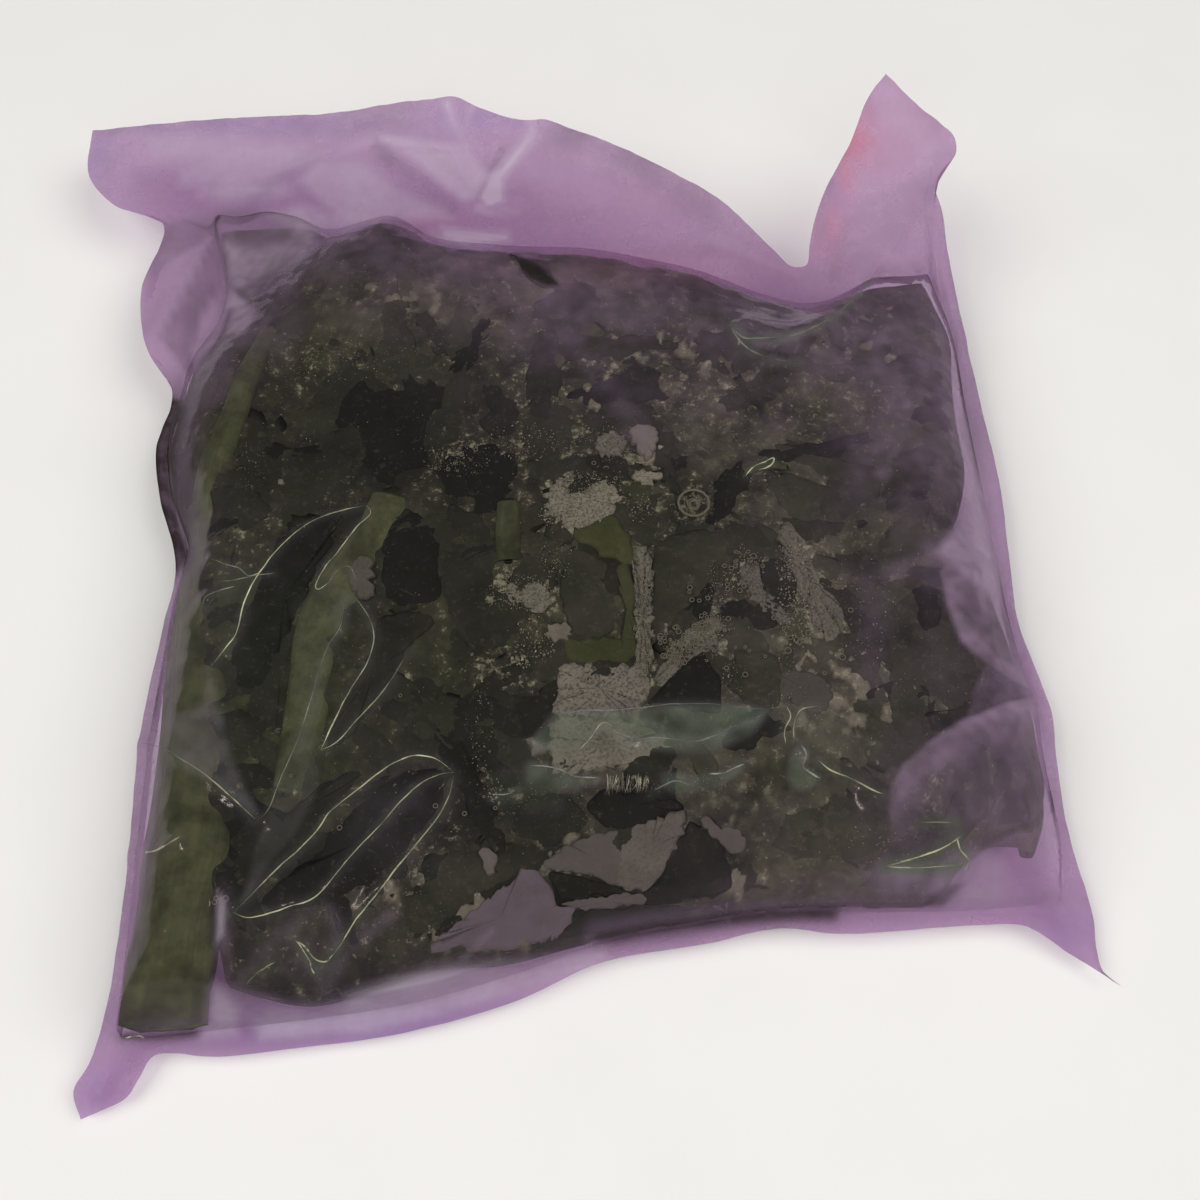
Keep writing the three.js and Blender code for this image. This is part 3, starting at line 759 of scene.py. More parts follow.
PLACED_LEAVES = [       # outline in pixels, tone from 0 (black green) to 1 (olive), lift, dome
    ([(702, 650), (714, 664), (722, 680), (724, 700), (716, 712), (694, 711), (667, 705),
      (647, 702), (662, 684), (682, 664)], 0.0, 0.6, 0.3),
    ([(586, 800), (590, 818), (606, 829), (640, 829), (664, 814), (688, 805), (668, 796),
      (642, 784), (626, 790), (604, 787)], 0.0, 0.6, 0.3),
    ([(690, 818), (708, 823), (724, 840), (730, 860), (735, 884), (716, 897), (686, 900),
      (652, 904), (636, 899), (656, 880), (671, 851), (680, 832)], 0.04, 0.6, 0.3),
    ([(545, 872), (580, 876), (616, 883), (641, 891), (623, 895), (591, 897), (566, 903),
      (555, 890)], 0.05, 0.5, 0.2),
    ([(550, 946), (578, 910), (623, 905), (671, 904), (719, 907), (763, 914), (737, 921),
      (687, 931), (623, 944), (579, 951)], 0.1, 0.4, 0.2),
    ([(404, 934), (441, 931), (461, 912), (482, 893), (508, 880), (524, 864), (507, 847),
      (480, 846), (446, 850), (424, 880), (400, 905)], 0.3, 0.2, 0.2),
    ([(339, 392), (352, 376), (384, 380), (418, 392), (430, 430), (424, 470), (392, 484),
      (364, 470), (350, 440), (332, 420)], 0.0, 0.2, 0.4),
    ([(346, 503), (320, 512), (285, 530), (262, 560), (248, 600), (228, 650), (236, 690),
      (262, 690), (286, 640), (304, 600), (316, 560), (340, 530)], 0.0, 0.3, 0.3),
    ([(383, 611), (420, 606), (437, 614), (407, 648), (380, 695), (340, 748), (322, 750),
      (350, 689), (373, 638)], 0.2, 0.4, 0.2),
    ([(569, 533), (592, 520), (613, 511), (626, 526), (633, 542), (636, 564), (613, 560),
      (596, 548)], 1.0, 0.7, 0.2),
    ([(564, 640), (590, 637), (613, 635), (633, 642), (633, 660), (596, 664), (567, 662)],
      0.9, 0.6, 0.1),
    ([(614, 562), (629, 558), (634, 587), (634, 658), (622, 660), (624, 613), (620, 585)],
      0.85, 0.8, 0.1),
    ([(570, 545), (604, 556), (618, 590), (620, 620), (610, 636), (574, 640), (562, 610),
      (560, 570)], 0.45, 0.4, 0.1),
    ([(632, 462), (648, 462), (652, 486), (646, 508), (630, 500), (626, 480)], 0.7, 0.3, 0.1),
    ([(653, 547), (668, 534), (693, 524), (729, 533), (720, 569), (704, 590), (689, 609),
      (671, 631), (655, 613)], 0.35, 0.4, 0.1),
    ([(384, 520), (410, 508), (438, 524), (444, 570), (438, 604), (410, 606), (384, 600),
      (380, 560)], 0.0, 0.2, 0.3),
    ([(450, 500), (480, 510), (496, 550), (490, 600), (470, 640), (444, 630), (440, 580)],
      0.2, 0.1, 0.2),
    ([(240, 790), (262, 826), (300, 800), (340, 770), (372, 762), (330, 810), (280, 866),
      (240, 905), (226, 890), (228, 830)], 0.15, 0.1, 0.3),
    ([(250, 912), (300, 862), (360, 800), (410, 766), (446, 764), (452, 780), (430, 820),
      (380, 880), (330, 900), (280, 915)], 0.0, 0.3, 0.4),
    ([(733, 650), (756, 646), (778, 652), (784, 680), (780, 704), (752, 707), (734, 690)],
      0.25, 0.4, 0.1),
    ([(824, 800), (860, 786), (900, 800), (940, 830), (930, 850), (880, 860), (820, 866),
      (770, 846), (784, 812)], 0.4, 0.1, 0.2),
    ([(888, 590), (930, 575), (962, 620), (978, 660), (964, 710), (920, 740), (892, 740),
      (886, 660)], 0.2, 0.1, 0.3),
    ([(448, 700), (480, 690), (520, 700), (530, 730), (500, 760), (462, 760), (446, 730)],
      0.1, 0.2, 0.2),
    ([(520, 800), (552, 790), (584, 802), (590, 824), (560, 842), (530, 846), (510, 826)],
      0.15, 0.2, 0.2),
]
SPINDLE_LEAF = [        # outline in pixels of one slender leaf right under the film
    (508, 252), (520, 256), (540, 266), (556, 280), (560, 285), (546, 286), (528, 276), (514, 262),
]
SCRAPS = 260
SCRAP_SEED = 5
SLAB_CELL = 0.65        # mm, about the size of a cell of the slab's net

leaf_shapes, leaf_tones = [], []
for k, (pixels, tone, lift, dome) in enumerate(PLACED_LEAVES):
    outline = frayed(outline_from_picture(pixels), 0.45 if k < 5 else 0.6, 4.0, (800 + k, 830 + k))
    leaf_shapes.append(blade(outline, lift - 0.1, dome, 0.15, 0.5, 40 + k, flat=0.4))
    leaf_tones.append(tone)
leaf_shapes.append(blade(outline_from_picture(SPINDLE_LEAF), 0.9, 0.1, 0.05, 0.4, 39))
leaf_tones.append(0)

rng = np.random.default_rng(SCRAP_SEED)
turns = np.linspace(0, 2 * np.pi, 22, endpoint=False)
for k in range(SCRAPS):
    middle = rng.uniform(6, SLAB_CELLS - 6, 2)
    length, width = rng.uniform(6, 17), rng.uniform(3, 8)
    turn = rng.uniform(0, np.pi)
    wobble = np.ones(len(turns))
    for amount, times in ((0.25, 2), (0.18, 3), (0.1, 7)):
        wobble += amount * np.sin(times * turns + rng.uniform(0, 6))
    oval = np.stack([length * np.cos(turns), width * np.sin(turns)], -1) * wobble[:, None]
    spin = np.array([[np.cos(turn), np.sin(turn)], [-np.sin(turn), np.cos(turn)]])
    cell = np.clip(middle + oval @ spin / SLAB_CELL, 3, SLAB_CELLS - 3)
    i, j = cell.astype(int).T
    part = cell - cell.astype(int)
    corner, right_of, above = slab_net[i, j, :2], slab_net[i + 1, j, :2], slab_net[i, j + 1, :2]
    outline = corner + part[:, :1] * (right_of - corner) + part[:, 1:] * (above - corner)
    lift, dome = rng.uniform(-0.1, 0.25), rng.uniform(0, 0.3)
    leaf_shapes.append(blade(outline, lift, dome, 0.15, 0.4, 500 + k, rings=4))
    leaf_tones.append(np.clip(rng.normal(0.2, 0.16), 0, 0.7))
leaf_points, leaf_polygons = join_shapes(leaf_shapes)
leaves = add_object("leaves", leaf_points, leaf_polygons)
add_attribute(leaves, "tone", per_point(leaf_shapes, leaf_tones))
add_attribute(leaves, "light", blobs(to_picture(leaf_points), LIGHT_ZONES))
print("leaves", len(leaf_shapes), "polygons", len(leaf_polygons))

# %% [markdown]
# ## Stalks
# The thick stalk on the left runs the whole length of the slab and ends in a clean cut near
# the bottom seal. Stalks are tubes: an oval is carried along a path, and its two ends close
# in a short rounded rim, like a stalk cut with a knife.

# %% Stalks
TUBE_SIDES = 20


def tube(path, half_width, half_height, cut=0.15, sides=TUBE_SIDES, fullness=1.0):
    """An oval carried along a path. Each ring stands square to the path in plan; its half width
    and half height follow the two given lists. Both ends close in one point. With a fullness
    below 1 the oval is a superellipse, fuller at its corners."""
    path = np.asarray(path, float)
    along = np.gradient(path, axis=0)
    along /= np.linalg.norm(along, axis=1, keepdims=True)
    sideways = np.cross(along, (0, 0, 1.0))
    sideways /= np.linalg.norm(sideways, axis=1, keepdims=True)
    upward = np.cross(sideways, along)
    angle = np.linspace(0, 2 * np.pi, sides, endpoint=False)
    wide, high = np.broadcast_to(half_width, len(path)), np.broadcast_to(half_height, len(path))
    across, rise = (np.sign(v) * np.abs(v) ** fullness for v in (np.cos(angle), np.sin(angle)))
    ring = (
        path[:, None]
        + (wide[:, None] * across)[..., None] * sideways[:, None]
        + (high[:, None] * rise)[..., None] * upward[:, None]
    )
    first = path[:1] - cut * along[:1]
    last = path[-1:] + cut * along[-1:]
    points = np.vstack([ring.reshape(-1, 3), first, last])
    number = np.arange(len(path) * sides).reshape(len(path), sides)
    nxt = np.roll(number, -1, axis=1)
    quads = np.stack([number[:-1], nxt[:-1], nxt[1:], number[1:]], -1).reshape(-1, 4).tolist()
    start, end = len(points) - 2, len(points) - 1
    caps = [(start, b, a) for a, b in zip(number[0], nxt[0])]
    caps += [(end, a, b) for a, b in zip(number[-1], nxt[-1])]
    return points, quads + caps


STALK_PATHS = [         # pixels along the middle with the half width in mm there, depth in mm below
                        # the film at the start and at the end, tone
    ([(153, 1040, 7.7), (164, 960, 7.9), (176, 900, 8.1), (184, 855, 8.2), (194, 780, 8.0),
      (196, 700, 7.0), (196, 640, 6.4), (200, 590, 5.4), (206, 540, 4.6), (214, 480, 3.8),
      (232, 430, 3.0), (250, 379, 2.6), (274, 330, 2.0)], 0.0, 0.5, 0.7),
    ([(396, 494, 4.2), (380, 530, 4.6), (354, 570, 5.2), (332, 606, 5.4), (318, 650, 5.0),
      (310, 700, 4.4), (300, 750, 3.8), (286, 800, 2.4)], 0.2, 0.8, 1.2),
    ([(509, 506, 2.2), (509, 536, 2.6), (510, 568, 2.4)], 0.2, 0.6, 0.5),
    ([(742, 480, 0.8), (768, 470, 1.0), (786, 474, 0.6)], 0.2, 0.4, 0.5),
    ([(1016, 722, 2.2), (1022, 770, 3.0), (1026, 816, 3.2), (1026, 856, 1.2)], 1.0, 2.0, 0.6),
    ([(600, 330, 2.6), (560, 360, 2.0), (548, 400, 1.6)], 1.0, 1.6, 0.3),
]
STALK_STEPS = 90


def side_seam(y, chain):
    """How far right the pillow's left or right seam lies at this y."""
    return np.interp(y, chain[:, 1], chain[:, 0])


def near_seam(x):
    return np.interp(x, *seam_chains[0].T)


stalk_shapes, stalk_fibres = [], []
for k, (given, sink_start, sink_end, _) in enumerate(STALK_PATHS):
    given = np.array(given, float)
    run = smooth_curve(np.column_stack([on_film(given[:, :2], 4.0)[:, :2], given[:, 2]]), STALK_STEPS)
    path, width = run[:, :2], run[:, 2]
    x, y = path.T
    film_over = upper_height(x, y, seam_height(y), seam_depth(x, y))
    share = np.linspace(0, 1, STALK_STEPS)
    cut_ends = quarter_round(np.minimum(share, 1 - share), 0.02, 2.5)
    width = width * (1 + 0.06 * noise(x, y, 22, 70 + k)) * cut_ends
    height = np.minimum(width * 0.66, film_over * 0.4)
    sink = sink_start + (sink_end - sink_start) * share
    spine = np.column_stack([x, y, film_over - 1.0 - sink - height])
    points, polygons = tube(spine, width, height, fullness=0.7)
    left, right = (side_seam(points[:, 1], seam_chains[side]) for side in (3, 1))
    points[:, 0] = np.clip(points[:, 0], left + 0.3, right - 0.3)
    points[:, 1] = np.maximum(points[:, 1], near_seam(points[:, 0]) + 0.3)
    x, y = points[:, 0], points[:, 1]
    depth = seam_depth(x, y)
    over = upper_height(x, y, seam_height(y), depth)
    points[:, 2] = np.clip(points[:, 2], floor_height(y, depth) + 0.3, over - 0.6)
    stalk_shapes.append((points, polygons))
    travel = np.append(0, np.cumsum(np.linalg.norm(np.diff(path, axis=0), axis=1)))
    around = 2 * np.pi * np.arange(TUBE_SIDES) / TUBE_SIDES
    circle = given[0, 2] * np.stack([np.cos(around), np.sin(around)], -1)
    fibre = np.column_stack([np.tile(circle, (STALK_STEPS, 1)), np.repeat(travel, TUBE_SIDES) + 300 * k])
    stalk_fibres.append(np.vstack([fibre, [(0, 0, 300 * k)] * 2]))
stalk_points, stalk_polygons = join_shapes(stalk_shapes)
stalks = add_object("stalks", stalk_points, stalk_polygons)
add_attribute(stalks, "tone", per_point(stalk_shapes, [tone for *_, tone in STALK_PATHS]))
add_attribute(stalks, "fibre", np.vstack(stalk_fibres))
print("stalks", len(stalk_shapes))

# %% [markdown]
# ## Milky ice
# In a few places the water froze in sheets against the film and stayed pale. These plates are
# made like the leaves, with straighter outlines and a flat top, and the rougher ones have the
# pits that escaping air left, half a millimetre wide.

# %% Plates of milky ice
ICE_PLATES = [          # outline in pixels, pits, purple, paleness, lift
    ([(559, 664), (582, 662), (606, 664), (630, 662), (649, 668), (652, 686), (642, 704),
      (610, 714), (580, 716), (557, 716), (556, 690)], 1.0, 0.25, 0.8, 0.35),
    ([(557, 716), (590, 716), (624, 717), (650, 728), (672, 743), (650, 760), (592, 769),
      (558, 778), (549, 752)], 0.7, 0.1, 0.75, 0.3),
    ([(527, 863), (540, 870), (553, 889), (560, 906), (552, 930), (540, 948), (524, 966),
      (486, 968), (448, 966), (429, 948), (446, 930), (466, 914), (496, 890), (514, 878)],
      0.0, 0.9, 0.3, 0.25),
    ([(541, 864), (560, 848), (580, 838), (604, 830), (624, 833), (628, 856), (620, 884),
      (600, 879), (578, 871), (551, 870)], 0.1, 0.15, 0.1, 0.2),
    ([(622, 834), (656, 816), (684, 809), (686, 828), (672, 856), (655, 884), (640, 891),
      (616, 884), (618, 858)], 0.4, 0.2, 0.25, 0.3),
    ([(560, 903), (600, 897), (640, 893), (650, 899), (618, 905), (580, 909)], 0.0, 0.3, 0.1, 0.1),
    ([(566, 905), (578, 908), (566, 924), (552, 940), (541, 946), (538, 926), (544, 908)],
      0.0, 0.8, 0.3, 0.3),
    ([(480, 846), (494, 850), (497, 862), (490, 876), (482, 866)], 0.0, 0.3, 0.3, 0.5),
    ([(711, 906), (736, 905), (744, 912), (730, 918), (712, 915)], 0.0, 0.9, 0.1, 0.4),
    ([(722, 826), (740, 830), (748, 842), (738, 852), (722, 846), (716, 834)], 0.0, 0.2, 0.1, 0.3),
    ([(700, 816), (714, 820), (726, 838), (720, 842), (706, 828)], 0.0, 0.2, 0.1, 0.3),
    ([(346, 562), (362, 553), (374, 566), (370, 580), (375, 592), (360, 598), (350, 586)],
      0.3, 0.0, 0.1, 0.4),
    ([(630, 428), (644, 423), (658, 430), (656, 446), (648, 460), (640, 452), (632, 440)],
      0.0, 0.5, 0.9, 0.7),
    ([(780, 672), (800, 668), (824, 676), (834, 690), (824, 712), (800, 706), (784, 692)],
      0.2, 0.0, 0.0, 0.1),
    ([(636, 545), (648, 545), (652, 600), (651, 660), (648, 690), (640, 700), (636, 660),
      (634, 600)], 1.0, 0.0, 0.5, 0.2),
    ([(655, 682), (664, 660), (682, 638), (702, 616), (722, 618), (718, 640), (690, 660),
      (668, 686)], 1.0, 0.0, 0.4, 0.1),
    ([(778, 524), (790, 520), (806, 548), (816, 580), (844, 606), (842, 634), (826, 640),
      (806, 608), (792, 566)], 0.9, 0.0, 0.35, 0.0),
    ([(546, 490), (566, 472), (584, 466), (600, 470), (618, 486), (616, 505), (598, 522),
      (572, 530), (550, 518)], 1.0, 0.0, 0.9, 0.0),
    ([(744, 560), (756, 562), (768, 590), (790, 620), (776, 622), (756, 600), (742, 580)],
      1.0, 0.1, 0.35, 0.0),
    ([(790, 530), (802, 532), (812, 560), (822, 590), (812, 600), (798, 574), (788, 550)],
      0.8, 0.0, 0.4, 0.0),
    ([(500, 588), (530, 580), (550, 592), (545, 610), (520, 612), (498, 602)], 1.0, 0.0, 0.6, 0.0),
    ([(600, 432), (622, 432), (624, 450), (606, 456), (594, 444)], 1.0, 0.1, 0.5, 0.1),
    ([(634, 472), (650, 470), (662, 476), (652, 484), (636, 482)], 0.6, 0.0, 0.9, 0.6),
    ([(548, 625), (566, 622), (572, 636), (556, 642), (546, 636)], 0.2, 0.0, 0.5, 0.3),
]
PLATE_SPOKES, PLATE_RINGS = 84, 22


def pitted(depth, seed):
    """A relief of round pits with raised walls between them."""
    def relief(x, y):
        return depth * (smooth_step(0.12, 0.5, cells(x, y, 0.75, seed)) - 1)
    return relief


plate_shapes = []
for k, (pixels, pits, _, _, lift) in enumerate(ICE_PLATES):
    outline = outline_from_picture(pixels, PLATE_SPOKES)
    outline = frayed(outline, 0.3 + 0.5 * pits, 2.0, (600 + k, 640 + k))
    holes = pitted(0.3 * pits, 700 + k)
    plate_shapes.append(blade(outline, lift + 0.2, 0.1, 0.06, 0.6, 660 + k, PLATE_RINGS, holes, flat=0.85))
plate_points, plate_polygons = join_shapes(plate_shapes)
ice_plates = add_object("milky_ice", plate_points, plate_polygons)
for column, name in ((1, "pits"), (2, "purple"), (3, "pale")):
    add_attribute(ice_plates, name, per_point(plate_shapes, [plate[column] for plate in ICE_PLATES]))
print("ice plates", len(plate_shapes), "polygons", len(plate_polygons))

# %% [markdown]
# ## Frost
# Frost grows as crumbs of a few tenths of a millimetre. Each is an icosahedron whose corners are
# pulled in or out at random. They lie in drifts where the photograph shows frost, and are
# strewn thinly over the rest. Air trapped against the film shows as tiny rings.

# %% Frost crumbs
FROST_DRIFTS = [        # middle in pixels, half sizes in pixels, how many, smallest and largest in mm
    (580, 500, 32, 30, 620, 0.25, 0.75), (600, 480, 26, 14, 160, 0.2, 0.6), (640, 508, 14, 14, 60, 0.3, 0.7),
    (548, 514, 10, 10, 50, 0.4, 0.8), (642, 600, 9, 50, 420, 0.15, 0.45), (640, 620, 9, 66, 260, 0.15, 0.4),
    (690, 645, 30, 20, 330, 0.15, 0.45), (712, 625, 24, 14, 220, 0.2, 0.5), (520, 592, 34, 20, 420, 0.2, 0.6),
    (535, 640, 24, 24, 120, 0.3, 0.9), (556, 560, 20, 20, 130, 0.2, 0.5), (520, 660, 12, 8, 26, 0.5, 1.3),
    (745, 570, 20, 26, 200, 0.2, 0.7), (715, 590, 12, 34, 130, 0.2, 0.5), (800, 600, 22, 50, 260, 0.3, 0.9),
    (790, 560, 16, 20, 90, 0.3, 0.8), (330, 360, 70, 22, 190, 0.15, 0.45), (400, 345, 60, 20, 70, 0.15, 0.4),
    (457, 460, 34, 16, 220, 0.15, 0.5), (420, 436, 60, 30, 90, 0.12, 0.35), (520, 440, 40, 20, 160, 0.2, 0.6),
    (620, 440, 24, 24, 150, 0.2, 0.6), (580, 440, 34, 16, 130, 0.2, 0.5), (700, 400, 90, 50, 90, 0.15, 0.4),
    (840, 400, 80, 60, 60, 0.15, 0.4), (480, 740, 16, 60, 90, 0.2, 0.6), (495, 790, 8, 16, 30, 0.4, 0.9),
    (800, 690, 40, 40, 120, 0.2, 0.5), (860, 610, 40, 60, 160, 0.2, 0.6), (730, 680, 16, 20, 60, 0.2, 0.5),
    (400, 880, 90, 60, 160, 0.1, 0.3), (300, 700, 100, 120, 200, 0.1, 0.3), (250, 460, 20, 30, 60, 0.15, 0.4),
    (700, 780, 80, 14, 140, 0.15, 0.4), (560, 800, 60, 30, 110, 0.15, 0.4), (900, 840, 60, 20, 80, 0.2, 0.5),
    (760, 470, 24, 10, 60, 0.2, 0.6), (692, 505, 22, 22, 60, 0.2, 0.5), (180, 860, 30, 120, 90, 0.1, 0.35),
    (660, 350, 120, 30, 60, 0.15, 0.4), (600, 700, 50, 50, 120, 0.1, 0.3), (930, 700, 50, 90, 120, 0.15, 0.4),
]
STREWN_FROST = 900
FROST_DENSITY, FROST_SIZE = 1.38, 0.78  # factors on the numbers and sizes above
FROST_DEPTH = 1.5       # mm under the film at which the picture's pixels are looked up
golden = (1 + np.sqrt(5)) / 2
CRUMB_CORNERS = np.array([
    (-1, golden, 0), (1, golden, 0), (-1, -golden, 0), (1, -golden, 0), (0, -1, golden), (0, 1, golden),
    (0, -1, -golden), (0, 1, -golden), (golden, 0, -1), (golden, 0, 1), (-golden, 0, -1), (-golden, 0, 1),
]) / np.hypot(1, golden)
CRUMB_FACES = np.array([
    (0, 11, 5), (0, 5, 1), (0, 1, 7), (0, 7, 10), (0, 10, 11), (1, 5, 9), (5, 11, 4), (11, 10, 2),
    (10, 7, 6), (7, 1, 8), (3, 9, 4), (3, 4, 2), (3, 2, 6), (3, 6, 8), (3, 8, 9), (4, 9, 5), (2, 4, 11),
    (6, 2, 10), (8, 6, 7), (9, 8, 1),
])

rng = np.random.default_rng(77)


def scatter(right, down, across, along, count, power):
    """Plan points strewn over an oval in the picture: even with a power of 0.5, and crowding
    towards the middle above that."""
    turn, reach = rng.uniform(0, 2 * np.pi, count), rng.uniform(0, 1, count) ** power
    pixels = np.stack([right + across * reach * np.cos(turn), down + along * reach * np.sin(turn)], -1)
    return on_film(pixels, FROST_DEPTH)[:, :2]


spots, sizes = [], []
for *oval, count, small, large in FROST_DRIFTS:
    count = int(FROST_DENSITY * count)
    spots.append(scatter(*oval, count, 0.7))
    sizes.append(FROST_SIZE * (small + (large - small) * rng.uniform(0, 1, count) ** 1.8))
column, row = (rng.integers(8, SLAB_CELLS - 8, STREWN_FROST) for _ in range(2))
spots = np.vstack([*spots, slab_net[column, row, :2]])
sizes = np.concatenate([*sizes, rng.uniform(0.1, 0.35, STREWN_FROST)])
inner = depth_inside(*spots.T, slab_rim, 3.0) > 1.5
spots, sizes = spots[inner], sizes[inner]
ground, smooth_top = ice_top(*spots.T)
level = ground + rng.uniform(0, 0.9, len(spots)) * (smooth_top - ground)
level += rng.uniform(-0.1, 0.3, len(spots))
stretch = rng.uniform(0.55, 1.25, (len(spots), 12, 1))
squash = rng.uniform(0.5, 1.0, (len(spots), 1, 3))
crumb_points = (
    np.column_stack([spots, level])[:, None] + sizes[:, None, None] * 0.5 * squash * stretch * CRUMB_CORNERS
)
crumb_faces = (12 * np.arange(len(spots)))[:, None, None] + CRUMB_FACES
frost = add_object(
    "frost_crumbs", crumb_points.reshape(-1, 3), crumb_faces.reshape(-1, 3).tolist(), smooth=False
)
add_attribute(frost, "pale", np.repeat(rng.uniform(0, 1, len(spots)) ** 1.6, 12))
print("frost crumbs", len(spots))

# %% Air bubbles
BUBBLE_DRIFTS = [       # middle in pixels, half sizes in pixels, how many, smallest and largest radius in mm
    (690, 645, 32, 20, 40, 0.2, 0.55), (712, 622, 20, 12, 16, 0.2, 0.5),
    (642, 640, 8, 44, 24, 0.2, 0.4), (745, 575, 22, 26, 20, 0.2, 0.6),
    (790, 625, 22, 34, 10, 0.3, 0.6), (700, 590, 14, 30, 6, 0.3, 0.5),
    (590, 480, 30, 20, 12, 0.2, 0.5), (740, 660, 40, 20, 8, 0.2, 0.5),
    (212, 905, 14, 20, 5, 0.3, 0.5), (460, 460, 30, 16, 8, 0.2, 0.4),
    (830, 640, 30, 50, 5, 0.3, 0.6), (640, 440, 20, 20, 5, 0.2, 0.5),
    (620, 700, 40, 40, 8, 0.2, 0.4), (400, 760, 140, 120, 12, 0.15, 0.4),
    (693, 502, 1, 1, 1, 2.9, 3.1), (694, 500, 5, 5, 3, 0.5, 1.2),
]
RING_STEPS, RING_SIDES = 14, 5


def rings(middles, radii, widths):
    """Small closed rings lying flat: a circle carried along a circle."""
    turn = 2 * np.pi * np.arange(RING_STEPS) / RING_STEPS
    side = 2 * np.pi * np.arange(RING_SIDES) / RING_SIDES
    turn, side = np.meshgrid(turn, side, indexing="ij")
    reach = radii[:, None, None] + widths[:, None, None] * np.cos(side)
    height = widths[:, None, None] * np.sin(side)
    points = np.stack([reach * np.cos(turn), reach * np.sin(turn), height], -1) + middles[:, None, None]
    number = np.arange(RING_STEPS * RING_SIDES).reshape(RING_STEPS, RING_SIDES)
    ahead, beside = np.roll(number, -1, 0), np.roll(number, -1, 1)
    quads = np.stack([number, ahead, np.roll(ahead, -1, 1), beside], -1).reshape(-1, 4)
    quads = (number.size * np.arange(len(middles)))[:, None, None] + quads
    return points.reshape(-1, 3), quads.reshape(-1, 4).tolist()


spots, radii = [], []
for *oval, count, small, large in BUBBLE_DRIFTS:
    spots.append(scatter(*oval, count, 0.5))
    radii.append(rng.uniform(small, large, count))
spots, radii = np.vstack(spots), np.concatenate(radii)
level = slab_heights(*spots.T)[0] + rng.uniform(-0.3, 0.2, len(spots))
bubble_points, bubble_faces = rings(np.column_stack([spots, level]), radii, 0.08 + 0.07 * radii)
bubbles = add_object("air_bubbles", bubble_points, bubble_faces)
print("bubbles", len(spots))
